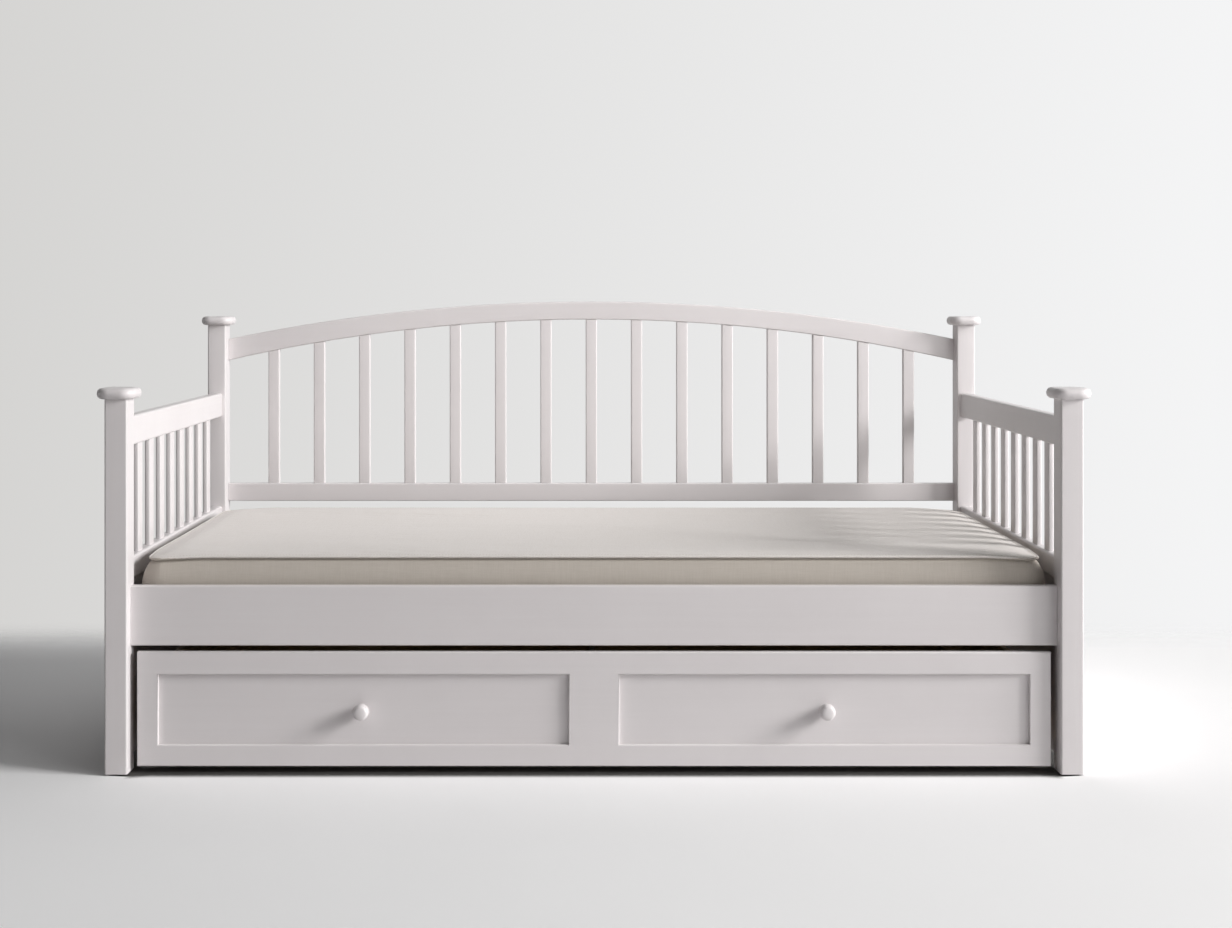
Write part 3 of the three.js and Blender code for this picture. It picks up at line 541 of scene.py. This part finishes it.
def rounded_outline(inset, draw_in):
    """Points round the outline or so far inside it, anticlockwise from the (+, +) corner's middle."""
    half_x = MATTRESS_LENGTH / 2 - inset
    half_y = MATTRESS_WIDTH / 2 - inset
    corner = max(MATTRESS_CORNER - inset, LEAST_CORNER)
    points = []
    for quarter in range(4):
        lengthwise = quarter % 2 == 0
        count = CELLS_X if lengthwise else CELLS_Y
        long_half, cross_half = (half_x, half_y) if lengthwise else (half_y, half_x)
        turn = quarter * math.pi / 2
        for k in range(count):
            way, out = side_point(k, count - 2 * ARC_STEPS, long_half, cross_half, corner, draw_in)
            points.append((
                way * math.cos(turn) - out * math.sin(turn),
                way * math.sin(turn) + out * math.cos(turn),
            ))
    return np.array(points)


def ring_at(outline, height):
    """A ring of points at a height, from an outline that is drawn round the mattress's middle."""
    outline = outline + (0.0, MATTRESS_MIDDLE_Y)
    return np.hstack([outline, np.full((len(outline), 1), height)])


def border_walk():
    """The places in a grid that a ring's points take, in their order."""
    nx, ny = CELLS_X, CELLS_Y
    walk = [(nx - k, ny) for k in range(nx)] + [(0, ny - k) for k in range(ny)]
    return walk + [(k, 0) for k in range(nx)] + [(nx, k) for k in range(ny)]


def filled(ring):
    """The inner points of a grid whose border is a ring, row by row, and the whole grid's indices."""
    nx, ny = CELLS_X, CELLS_Y
    border = np.empty((nx + 1, ny + 1, 3))
    index = -np.ones((nx + 1, ny + 1), dtype=int)
    for number, (i, j) in enumerate(border_walk()):
        border[i, j] = ring[number]
        index[i, j] = number
    u = np.array([k / nx for k in range(nx + 1)])[:, None, None]
    v = np.array([k / ny for k in range(ny + 1)])[None, :, None]
    low, high = border[:, :1], border[:, ny:]
    left, right = border[:1, :], border[nx:, :]
    grid = (1 - v) * low + v * high + (1 - u) * left + u * right
    left_end = (1 - v) * left[:, :1] + v * left[:, ny:]
    right_end = (1 - v) * right[:, :1] + v * right[:, ny:]
    grid -= (1 - u) * left_end + u * right_end
    inner = []
    for i in range(1, nx):
        for j in range(1, ny):
            index[i, j] = len(ring) + len(inner)
            inner.append(grid[i, j])
    return np.array(inner), index


def pad_mesh(name, rings):
    """A closed mesh through rings, whose two ends are grids of four-sided faces."""
    count = len(rings[0])
    points = [p for ring in rings for p in ring]
    faces = tube_faces(0, len(rings), count)
    for ring, first, flip in ((rings[0], 0, True), (rings[-1], (len(rings) - 1) * count, False)):
        inner, index = filled(ring)
        start = len(points)
        points += list(inner)
        number = np.where(index < count, first + index, start + index - count)
        for i in range(CELLS_X):
            for j in range(CELLS_Y):
                face = (number[i, j], number[i + 1, j], number[i + 1, j + 1], number[i, j + 1])
                faces.append(tuple(int(n) for n in (face[::-1] if flip else face)))
    return new_mesh(name, points, faces)


# The cover's rings, each an (inset from the outline, height, share of the draw-in, share of the bulge)

PIPING_STEP_DEGREES = 27
SIDE_STEPS = 16
# rings that no formula gives, as (inset, height over the bottom or the top, share of the draw-in)
UNDERSIDE_RINGS = ((0.034, 0.0, 0.0), (0.022, 0.0, 0.0), (0.014, 0.0, 0.0), (0.0075, 0.0006, 1.0))
TOP_SEAM_RINGS = ((0.0082, -0.0012, 1.0), (0.0096, -0.0007, 0.9))
GROOVE_RINGS = ((0.0104, 3.75), (0.0122, 3.35), (0.0124, 2.65), (0.0096, 2.20))  # inset, depth in cord radii


def piping_rings(inset, middle, first_degrees, count):
    """Rings round a piping cord, from the angle of the first."""
    r = PIPING_RADIUS
    rings = []
    for k in range(count):
        angle = math.radians(first_degrees + PIPING_STEP_DEGREES * k)
        rings.append((inset + r - r * math.cos(angle), middle + r * math.sin(angle), 1.0, 0.0))
    return rings


def side_rings(low, high):
    """Rings of the side between the two cords, where its middle stands out most."""
    rings = []
    for k in range(SIDE_STEPS + 1):
        t = k / SIDE_STEPS
        bulge = (1 - abs(2 * t - 1) ** 2.2) ** 0.85
        rings.append((SIDE_ROUND * (1 - bulge), low + t * (high - low), 1.0, bulge))
    return rings


def top_rings(high):
    """Rings from the upper seam inward, over which the draw-in fades."""
    rings = [(inset, high + rise, draw, 0.0) for inset, rise, draw in TOP_SEAM_RINGS]
    for k in range(5):
        rings.append((0.012 + 0.005 * k, high + 0.00008 * k, 0.6 - 0.15 * k, 0.0))
    rings.append((0.036, high + 0.0004, 0.0, 0.0))
    return rings


def ring_levels():
    r = PIPING_RADIUS
    low, high = MATTRESS_LOW, MATTRESS_HIGH
    lower_cord = low + 1.35 * r
    levels = [(inset, low + rise, draw, 0.0) for inset, rise, draw in UNDERSIDE_RINGS]
    levels += piping_rings(0.0018, lower_cord, first_degrees=-128, count=9)
    levels.append((0.0068, lower_cord + 1.2 * r, 1.0, 0.0))
    levels += side_rings(lower_cord + 1.9 * r, high - 4.1 * r)
    levels += [(inset, high - depth * r, 1.0, 0.0) for inset, depth in GROOVE_RINGS]
    levels += piping_rings(0.0030, high - r, first_degrees=-108, count=10)
    return levels + top_rings(high)


def mattress_rings():
    rings = []
    for inset, height, draw, bulge in ring_levels():
        outline = rounded_outline(inset, MATTRESS_DRAW_IN * draw)
        from_middle = np.abs(outline[:, 0]) / (MATTRESS_LENGTH / 2)
        end = np.clip(from_middle * END_SHARE - (END_SHARE - 1), 0.0, 1.0)
        outline[:, 0] += np.sign(outline[:, 0]) * END_BULGE * bulge * end
        rings.append(ring_at(outline, height))
    return rings


# The cover's swelling: a cloth simulation with pressure on a coarse copy, carried over to the fine mesh

VOXEL = 0.012
COARSE_INSET = 0.004
COARSE_LIFT = 0.002
COARSE_RINGS = ((0.02, 0.0), (0.0, 0.06), (0.0, 0.5), (0.0, 0.94), (0.02, 1.0))  # inset, share of the height
SEAM_REACH = 0.012  # of what the seams hold, up from the bottom and in from the outline
SWELL_FRAMES = 20
PRESSURE = 4.0
SWELL_LIMIT = 0.006
NEIGHBOURS = 6


def coarse_cover():
    """An even coarse mesh just inside the mattress's outline."""
    thickness = MATTRESS_HIGH - MATTRESS_LOW - 2 * COARSE_LIFT
    rings = []
    for inset, share in COARSE_RINGS:
        outline = rounded_outline(inset + COARSE_INSET, 0.0)
        rings.append(ring_at(outline, MATTRESS_LOW + COARSE_LIFT + share * thickness))
    made = link_piece("swelling", pad_mesh("swelling", rings))
    bpy.context.view_layer.objects.active = made
    made.select_set(True)
    made.data.remesh_voxel_size = VOXEL
    bpy.ops.object.voxel_remesh()
    return made


def pin_seams(coarse, rest):
    """Holds the points near the bottom and those on the top's edge, where the seams are."""
    near_low = rest[:, 2] < MATTRESS_LOW + SEAM_REACH
    near_high = np.abs(rest[:, 2] - (MATTRESS_HIGH - 0.004)) < 0.007
    past_end = np.abs(rest[:, 0]) - MATTRESS_LENGTH / 2
    past_side = np.abs(rest[:, 1] - MATTRESS_MIDDLE_Y) - MATTRESS_WIDTH / 2
    outer = np.maximum(past_end, past_side) > -SEAM_REACH
    held = near_low | (near_high & outer)
    pins = coarse.vertex_groups.new(name="seams")
    pins.add([int(k) for k in np.nonzero(held)[0]], 1.0, "REPLACE")


def inflate(coarse):
    """The points' places after the cloth simulation."""
    cloth = coarse.modifiers.new("cover", "CLOTH")
    cloth.settings.use_pressure = True
    cloth.settings.uniform_pressure_force = PRESSURE
    cloth.settings.effector_weights.gravity = 0.0
    cloth.settings.vertex_group_mass = "seams"
    cloth.settings.quality = 4
    cloth.settings.mass = 0.3
    cloth.settings.tension_stiffness = 18.0
    cloth.settings.compression_stiffness = 18.0
    cloth.settings.bending_stiffness = 0.8
    cloth.settings.shrink_min = -0.006
    cloth.point_cache.frame_start = 1
    cloth.point_cache.frame_end = SWELL_FRAMES
    scene = bpy.context.scene
    for number in range(1, SWELL_FRAMES + 1):
        scene.frame_set(number)
    posed = coarse.evaluated_get(bpy.context.evaluated_depsgraph_get())
    after = coords_of(posed.data)
    scene.frame_set(1)
    return after


def carried(points, rest, moved):
    """Each point's move, from those of the nearest points of the coarse mesh."""
    tree = KDTree(len(rest))
    for k, p in enumerate(rest):
        tree.insert(p, k)
    tree.balance()
    out = np.zeros_like(points)
    for k, p in enumerate(points):
        total = 0.0
        for _, index, distance in tree.find_n(p, NEIGHBOURS):
            weight = 1.0 / (distance * distance + 1e-5)
            out[k] += weight * moved[index]
            total += weight
        out[k] /= total
    return out


def swell(points):
    """How far the cover's points move when the foam presses it from inside."""
    coarse = coarse_cover()
    rest = coords_of(coarse.data)
    pin_seams(coarse, rest)
    moved = inflate(coarse) - rest
    length = np.linalg.norm(moved, axis=1, keepdims=True)
    moved *= np.tanh(length / SWELL_LIMIT) * SWELL_LIMIT / np.maximum(length, 1e-9)
    out = carried(points, rest, moved)
    bpy.data.objects.remove(coarse)
    return out


# The cover's form and creases, and the piece itself

TOP_DEPTH = 0.0030  # the top's points lie at most this far under its seam
TOP_SEAM_WIDTH = 0.008
TOP_RISE_WIDTH = 0.05  # over which the top's swelling sets in
UPPER_GROOVE = 0.010  # depth under the top at which the side ends
SIDE_WAVES_HEIGHT = 0.115  # from the lower seam up
SWELL_SHARE = 0.35  # of the simulated swelling
CROWN_SHARE = 0.55  # of the crown that doesn't come from the swelling and the creases


def smooth_step(t):
    return t * t * (3 - 2 * t)


def waves(points, count, lengths, heights, lean, seed):
    """Soft creases: a sum of short stretches of sines, whose crests run along X but for their lean."""
    made = np.random.default_rng(seed)
    x, y = points[:, 0], points[:, 1]
    total = np.zeros(len(points))
    for _ in range(count):
        across = made.uniform(*lengths)
        slant = made.normal(lean, 0.14)
        phase = made.uniform(0.0, 2 * math.pi)
        centre = made.uniform(-1.0, 1.0), made.uniform(-0.5, 0.45)
        spread = made.uniform(0.22, 0.6), made.uniform(0.05, 0.16)
        bend = made.uniform(-0.05, 0.05) * np.sin(x * made.uniform(2.0, 5.0) + phase)
        window = np.exp(-((x - centre[0]) / spread[0]) ** 2 - ((y - centre[1]) / spread[1]) ** 2)
        level = made.uniform(*heights)
        total += level * window * np.sin((y + slant * x + bend) * 2 * math.pi / across + phase)
    return total


def corner_fall(x, y):
    """How far the top falls at a place near one of its corners."""
    from_end = MATTRESS_LENGTH / 2 - np.abs(x)
    from_side = MATTRESS_WIDTH / 2 - np.abs(y - MATTRESS_MIDDLE_Y)
    near = np.clip(1.0 - np.hypot(from_end, from_side) / CORNER_REACH, 0.0, 1.0)
    return CORNER_DIP * smooth_step(near)


def height_share(points):
    """How high each point is, from nothing at the bottom to one at the top."""
    return np.clip((points[:, 2] - MATTRESS_LOW) / (MATTRESS_HIGH - MATTRESS_LOW), 0.0, 1.0)


def top_share(points):
    """How much of the top's swelling and creases each point has: nothing at the seam and below it."""
    from_end = MATTRESS_LENGTH / 2 - np.abs(points[:, 0])
    from_side = MATTRESS_WIDTH / 2 - np.abs(points[:, 1] - MATTRESS_MIDDLE_Y)
    inside = np.minimum(from_end, from_side)
    rise = smooth_step(np.clip((inside - TOP_SEAM_WIDTH) / TOP_RISE_WIDTH, 0.0, 1.0))
    return rise * (points[:, 2] > MATTRESS_HIGH - TOP_DEPTH)


def press_out(points, on_top):
    """Moves the points by a share of the simulated swelling: the sides outward and the top upward."""
    moved = swell(points)
    over_seam = points[:, 2] > MATTRESS_LOW + SEAM_REACH
    on_side = over_seam & (points[:, 2] < MATTRESS_HIGH - UPPER_GROOVE)
    share = (on_side * np.sin(math.pi * height_share(points)) ** 0.7)[:, None]
    points[:, :2] += SWELL_SHARE * share * moved[:, :2]
    points[:, 2] += on_top * SWELL_SHARE * np.clip(moved[:, 2], -0.001, SWELL_LIMIT)


def side_push(points, from_middle_y):
    """Soft waves of the front and rear sides, none at their seams."""
    turned_up = points[:, [0, 2, 1]] * (1.0, 1.6, 1.0)
    heave = waves(turned_up, 40, (0.03, 0.08), (0.0002, 0.0008), lean=0.0, seed=9)
    long_side = np.abs(from_middle_y) > MATTRESS_WIDTH / 2 - SEAM_REACH
    t = np.clip((points[:, 2] - MATTRESS_LOW - SEAM_REACH) / SIDE_WAVES_HEIGHT, 0.0, 1.0)
    push = np.sin(math.pi * t) * heave * np.sign(from_middle_y) * long_side
    return np.where((t > 0) & (t < 1), push, 0.0)


def form_cover(points):
    """Moves the cover's points from their plain rings to where foam, creases and corners take them."""
    from_middle_y = points[:, 1] - MATTRESS_MIDDLE_Y
    on_top = top_share(points)
    press_out(points, on_top)
    points[:, 2] += on_top * CROWN * CROWN_SHARE
    creases = waves(points, 90, (0.018, 0.048), (0.00012, 0.00050), lean=0.32, seed=7)
    broad = waves(points, 26, (0.10, 0.24), (0.0003, 0.0009), lean=0.2, seed=8)
    points[:, 2] += on_top * (creases + broad)
    points[:, 2] -= corner_fall(points[:, 0], points[:, 1]) * height_share(points) ** 2
    points[:, 1] += side_push(points, from_middle_y)


def in_border(height):
    """Whether a face at a height has the browner border cloth, darkened too as painted shade: the side
    between the seams, and the underside.
    """
    low_seam = MATTRESS_LOW + 2.3 * PIPING_RADIUS
    high_seam = MATTRESS_HIGH - 2.2 * PIPING_RADIUS
    return low_seam < height < high_seam or height < MATTRESS_LOW + 0.0003


def make_mattress():
    mesh = pad_mesh("mattress_cover", mattress_rings())
    points = coords_of(mesh)
    form_cover(points)
    set_coords(mesh, points)
    smooth(mesh)
    made = link_piece("mattress_cover", mesh)
    made.data.materials.append(cover)
    made.data.materials.append(border)
    mesh.polygons.foreach_set("material_index", [int(in_border(face.center.z)) for face in mesh.polygons])
    subdivide = made.modifiers.new("subdivide", "SUBSURF")
    subdivide.levels = 1
    subdivide.render_levels = 1
    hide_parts("mattress")
    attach(made, "mattress")


# The mattress's stitches: one row of short raised ones on the top, inside the piping

STITCH_LENGTH = 0.0042
STITCH_GAP = 0.0024
STITCH_RADIUS = 0.0005
STITCH_END = 0.45  # of the radius, at a stitch's two ends
STITCH_SHARES = (0.0, 0.3, 0.7, 1.0)  # of its length, where its rings are
STITCH_SIDES = 5
STITCH_INSET = 0.0128
STITCH_RISE = 0.0004


def point_on(closed, steps, at, place):
    """The point at a place along a closed line, and the line's direction there."""
    k = min(int(np.searchsorted(at, place, side="right")) - 1, len(steps) - 1)
    t = (place - at[k]) / steps[k]
    return closed[k] * (1 - t) + closed[k + 1] * t, (closed[k + 1] - closed[k]) / steps[k]


def stitch_ring(spot, way, thick):
    """A ring of a stitch's points round a spot, square to its way."""
    normal = np.array([way[1], -way[0]])
    level = MATTRESS_HIGH + STITCH_RISE - corner_fall(spot[0], spot[1])
    ring = []
    for turn in range(STITCH_SIDES):
        angle = 2 * math.pi * turn / STITCH_SIDES
        flat = spot + normal * (thick * math.cos(angle))
        ring.append((flat[0], flat[1], level + thick * math.sin(angle)))
    return ring


def make_stitching():
    outline = rounded_outline(STITCH_INSET, MATTRESS_DRAW_IN) + (0.0, MATTRESS_MIDDLE_Y)
    closed = np.vstack([outline, outline[:1]])
    steps = np.linalg.norm(np.diff(closed, axis=0), axis=1)
    at = np.concatenate([[0.0], np.cumsum(steps)])
    points, faces = [], []
    for number in range(int(at[-1] / (STITCH_LENGTH + STITCH_GAP))):
        faces += closed_tube_faces(len(points), len(STITCH_SHARES), STITCH_SIDES)
        for share in STITCH_SHARES:
            place = (number * (STITCH_LENGTH + STITCH_GAP) + share * STITCH_LENGTH) % at[-1]
            spot, way = point_on(closed, steps, at, place)
            points += stitch_ring(spot, way, STITCH_RADIUS * (STITCH_END if share in (0.0, 1.0) else 1.0))
    mesh = new_mesh("mattress_stitching", points, faces)
    smooth(mesh)
    made = link_piece("mattress_stitching", mesh)
    made.data.materials.append(thread)
    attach(made, "mattress")


make_stitching()
make_mattress()


# Fasteners

BED_BOLT_RADIUS = 0.0075
CASTER_SCREW_RADIUS = 0.0036
KNOB_SCREW_RADIUS = 0.0045
BOLT_SIDES = 24
BOLT_OVER_RAIL_EDGE = 0.031
BOLT_UNDER_RAIL_EDGE = 0.030
BOLT_IN_LOWER_RAIL = 0.023
BOLT_IN_ARCH = 0.029
BUTTON_HEAD = (
    (0.94, 0.0), (1.0, 0.05), (1.0, 0.10), (0.93, 0.24), (0.78, 0.36),
    (0.56, 0.43), (0.44, 0.44), (0.40, 0.42), (0.39, 0.12), (0.36, 0.10),
)  # (distance from the axis, height) in radii of the head: a low dome with a recessed drive


def turned(name, profile, sides, place, axis):
    """A turned form from (radius, height) pairs, whose axis points along a direction."""
    turn = Vector(axis).to_track_quat("Z", "Y").to_matrix()
    points = []
    for radius, height in profile:
        for k in range(sides):
            angle = 2 * math.pi * k / sides
            around = Vector((radius * math.cos(angle), radius * math.sin(angle), height))
            points.append(turn @ around + Vector(place))
    mesh = new_mesh(name, points, closed_tube_faces(0, len(profile), sides))
    smooth(mesh)
    return link_piece(name, mesh)


def bolt(name, place, axis, body, radius):
    """A button-head bolt with a recessed drive."""
    profile = [(radius * out, radius * height) for out, height in BUTTON_HEAD]
    made = turned(name, profile, BOLT_SIDES, place, axis)
    made.data.materials.append(steel)
    sharp = made.modifiers.new("weighted", "WEIGHTED_NORMAL")
    sharp.keep_sharp = True
    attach(made, body)


def middle_y(name):
    low, high = rounded_box(name)
    return (low[1] + high[1]) / 2


def add_bolts():
    """Bed bolts through the outer faces of the posts, into the ends of the long rails."""
    front_low, front_high = rounded_box("front_rail")
    stop_low, stop_high = rounded_box("drawer_stop_rail")
    lower, upper = front_low[2] + BOLT_OVER_RAIL_EDGE, front_high[2] - BOLT_UNDER_RAIL_EDGE
    stop = (stop_low[2] + stop_high[2]) / 2
    back_lower = rounded_box("back_lower_rail")[0][2] + BOLT_IN_LOWER_RAIL
    back_upper = rounded_box("back_arch_rail")[0][2] + BOLT_IN_ARCH
    rows = [
        ("front", middle_y("front_rail"), (lower, upper)),
        ("rear", middle_y("rear_rail"), (stop, lower, upper)),
        ("back", middle_y("back_lower_rail"), (back_lower, back_upper)),
    ]
    for side, sign in (("left", -1), ("right", 1)):
        for row, y, heights in rows:
            for number, z in enumerate(heights, 1):
                place = (sign * post_outer_x, y, z)
                bolt(f"bolt_{row}_{side}_{number}", place, (sign, 0, 0), "frame", BED_BOLT_RADIUS)


add_bolts()


def add_caster_screws():
    """A screw in each corner of each caster's plate."""
    edge_x, edge_y, sunk = 0.0055, 0.0075, 0.002
    corners = ((-1, -1), (-1, 1), (1, -1), (1, 1))
    for end in ("front", "rear"):
        for side in ("left", "right"):
            low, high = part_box(f"caster_bracket_{end}_{side}")
            middle = (Vector(low) + Vector(high)) / 2
            out_x = (high[0] - low[0]) / 2 - edge_x
            out_y = (high[1] - low[1]) / 2 - edge_y
            for number, (sx, sy) in enumerate(corners, 1):
                place = (middle.x + sx * out_x, middle.y + sy * out_y, high[2] - sunk)
                bolt(f"caster_screw_{end}_{side}_{number}", place, (0, 0, -1), "drawer", CASTER_SCREW_RADIUS)


def add_knob_screws():
    """The screw of each knob, on the back of its panel."""
    for side in ("left", "right"):
        low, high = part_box(f"drawer_{side}_knob")
        panel_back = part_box(f"drawer_{side}_panel")[1][1]
        place = ((low[0] + high[0]) / 2, panel_back, (low[2] + high[2]) / 2)
        bolt(f"knob_screw_{side}", place, (0, 1, 0), "drawer", KNOB_SCREW_RADIUS)


add_caster_screws()
add_knob_screws()

STAPLE_WIDTH = 0.011
STAPLE_WIRE = 0.0007  # half the wire's breadth, and about its height
STAPLE_FROM_MIDDLE = 0.016  # of the slat
STAPLE_SECTION = ((-1, 0), (-0.6, -0.9), (0.6, -0.9), (1, 0))  # across and up, in wires


def staple_points(place, turn):
    """The two ends of a staple's crown, which lies across the strap but for its turn."""
    points = []
    for end in (-1, 1):
        for across, up in STAPLE_SECTION:
            along, aside = end * STAPLE_WIDTH / 2, across * STAPLE_WIRE
            points.append((
                place[0] + along * math.sin(turn) + aside * math.cos(turn),
                place[1] + along * math.cos(turn) - aside * math.sin(turn),
                place[2] + up * STAPLE_WIRE,
            ))
    return points


def add_staples():
    """Two staples that hold each strap under each slat."""
    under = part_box("slat_roll")[0][2] - 0.0001
    pitch = 2 * post_inner_x / SLATS
    points, faces = [], []
    for row in (-STRAP_SPACING, 0.0, STRAP_SPACING):
        for k in range(SLATS):
            x = (k - (SLATS - 1) / 2) * pitch
            for side in (-1, 1):
                y = row + rng.uniform(-0.004, 0.004)
                turn = rng.uniform(-0.25, 0.25)
                faces += closed_tube_faces(len(points), 2, len(STAPLE_SECTION))
                points += staple_points((x + side * STAPLE_FROM_MIDDLE, y, under), turn)
    made = link_piece("strap_staples", new_mesh("strap_staples", points, faces))
    made.data.materials.append(steel)
    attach(made, "frame")


add_staples()


# The floor

FLOOR_HALF = 9.0
CONTACT_REACH = 0.05  # how far the floor looks for what stands on it
CONTACT_PAST_POSTS = 0.046  # from the posts' inner faces to nearly their outer ones
FLOOR_LOOKED_AT = ((0.930, 0.930, 0.935), (0.950, 0.950, 0.955))
# painted shade: the dark colour the floor takes under the bed, where it is looked at
FLOOR_PAINTED_SHADE = (0.06, 0.058, 0.056)
FLOOR_LIT = (0.74, 0.735, 0.74)  # for the light that it sends back to the bed
WHITE = (1.0, 1.0, 1.0, 1.0)


def painted_shade_share(s, x, y):
    """Painted shade on the floor under the bed, where things stand near it: between the posts, and up to its
    ends behind their feet.
    """
    open_share = s.node("ShaderNodeAmbientOcclusion", samples=24)
    open_share.inputs["Distance"].default_value = CONTACT_REACH
    contact = s.span(open_share.outputs["AO"], 0.74, 0.90, 1.0, 0.0)
    reach = s.span(y, post_front_y - 0.004, post_front_y + 0.004, 0.0, CONTACT_PAST_POSTS)
    beside = s.math("SUBTRACT", s.math("ABSOLUTE", x), reach)
    between = s.span(beside, post_inner_x - 0.008, post_inner_x + 0.004, 1.0, 0.0)
    return s.math("MULTIPLY", contact, between)


def painted_floor_glow(s, y):
    """Painted light: where it is looked at, the floor glows a little paler before the bed and towards the
    backdrop.
    """
    towards_backdrop = s.span(y, -0.20, 0.90, 0.010, 0.12)
    before_bed = s.span(y, -1.1, -0.6, 0.065, 0.010)
    return s.math("MAXIMUM", towards_backdrop, before_bed)


def faded_share(s, x, y):
    """Where the floor gives way to the backdrop: behind the bed, and far from it all round."""
    behind = s.span(y, 0.72, 1.30, 0.0, 1.0, "SMOOTHERSTEP")
    away = s.math("SQRT", s.math("ADD", s.math("MULTIPLY", x, x), s.math("MULTIPLY", y, y)))
    return s.math("MAXIMUM", behind, s.span(away, 2.6, 5.5, 0.0, 1.0, "SMOOTHERSTEP"))


def floor_material():
    s = Shader("floor")
    looked_at = s.looked_at()
    x, y, _ = s.split(s.coords)
    grit = s.noise(s.coords, 210.0, detail=3.0)
    cloud = s.noise(s.coords, 1.3, detail=3.0)
    under = painted_shade_share(s, x, y)
    # the floor is painted darker under the bed, and its painted glow is dimmed there
    shown = s.mix(under, s.mix(s.span(cloud, *USUAL, 0.0, 1.0), *FLOOR_LOOKED_AT), FLOOR_PAINTED_SHADE)
    # painted light: the floor's glow where it is looked at
    painted_glow = s.math("MULTIPLY", painted_floor_glow(s, y), s.math("SUBTRACT", 1.0, under))
    s.link(s.math("MULTIPLY", painted_glow, looked_at), s.bsdf.inputs["Emission Strength"])
    color = s.mix(looked_at, FLOOR_LIT, shown)
    normal = s.bump(grit, depth=0.0001, strength=0.2)
    s.finish(color, None, normal, Roughness=0.82, Specular_IOR_Level=0.15, Emission_Color=WHITE)
    clear = s.node("ShaderNodeBsdfTransparent")
    fade = s.node("ShaderNodeMixShader")
    s.link(s.math("MULTIPLY", faded_share(s, x, y), looked_at), fade.inputs["Fac"])
    s.link(s.bsdf.outputs["BSDF"], fade.inputs[1])
    s.link(clear.outputs["BSDF"], fade.inputs[2])
    s.link(fade.outputs["Shader"], s.tree.nodes["Material Output"].inputs["Surface"])
    return s.material


def make_floor():
    half = FLOOR_HALF
    corners = [(-half, -half, 0), (half, -half, 0), (half, half, 0), (-half, half, 0)]
    made = link_piece("floor", new_mesh("floor", corners, [(0, 1, 2, 3)]))
    made.data.materials.append(floor_material())


make_floor()


# The world

SKY_LEVEL = 0.17
SKY_LEFT = 0.40  # of that level, straight to the left
SKY_RIGHT = 1.35  # and straight to the right
# the backdrop's colours are painted light: darker to the left, lighter to the right
BACKDROP_LEFT = (0.652, 0.645, 0.632)
BACKDROP_RIGHT = (0.905, 0.907, 0.912)
BACKDROP_TURN = (-0.35, 0.33)  # sideways parts of the directions between which its colour changes


def make_world():
    """A dim sky for the light, and a pale backdrop where it is looked at, with painted light making it
    lighter to the right.
    """
    world = bpy.data.worlds.new("studio")
    bpy.context.scene.world = world
    world.use_nodes = True
    w = Nodes(world.node_tree, "Generated")
    x, _, _ = w.split(w.coords)
    backdrop = w.mix(w.span(x, *BACKDROP_TURN, 0.0, 1.0), BACKDROP_LEFT, BACKDROP_RIGHT)
    sky = w.span(x, -1.0, 1.0, SKY_LEFT * SKY_LEVEL, SKY_RIGHT * SKY_LEVEL)
    strength = w.span(w.looked_at(), 0.0, 1.0, sky, 1.0)
    background = w.tree.nodes["Background"]
    w.link(backdrop, background.inputs["Color"])
    w.link(strength, background.inputs["Strength"])


make_world()


# Lamps

BED_MIDDLE = (0.0, 0.0, 0.45)
BACK_MIDDLE = (0.10, 0.28, 0.62)
KEY_PLACE = (10.55, -3.53, 4.95)  # high and far to the right, for the long soft shadows to the left
SIDE_PLACE = (4.76, -4.76, 2.38)
TOP_PLACE = (0.15, -0.60, 2.6)
KEY_LEVEL = 1.13
SIDE_LEVEL = 0.19
TOP_LEVEL = 0.072
KEY_COLOR = (1.0, 0.992, 0.985)
SOFT_COLOR = (1.0, 0.99, 0.985)
TOP_SPREAD = 62.0
ALL_ROUND = 180.0


def area_lamp(name, place, target, size, level, color, spread=ALL_ROUND):
    """A lamp of a width and a height; its level is what a facing white surface at the target sends back."""
    data = bpy.data.lights.new(name, "AREA")
    data.shape = "RECTANGLE"
    data.size, data.size_y = size
    data.color = color
    data.spread = math.radians(spread)
    way = Vector(target) - Vector(place)
    data.energy = level * math.pi ** 2 * way.length_squared
    made = bpy.data.objects.new(name, data)
    made.location = place
    made.rotation_euler = way.to_track_quat("-Z", "Y").to_euler()
    made.visible_camera = False
    bpy.context.scene.collection.objects.link(made)


area_lamp("key", KEY_PLACE, BED_MIDDLE, (3.9, 3.6), KEY_LEVEL, KEY_COLOR)
area_lamp("side", SIDE_PLACE, BED_MIDDLE, (3.6, 2.4), SIDE_LEVEL, SOFT_COLOR)
area_lamp("top", TOP_PLACE, BACK_MIDDLE, (2.2, 0.6), TOP_LEVEL, SOFT_COLOR, TOP_SPREAD)

scene_view = bpy.context.scene.view_settings
scene_view.view_transform = "Standard"
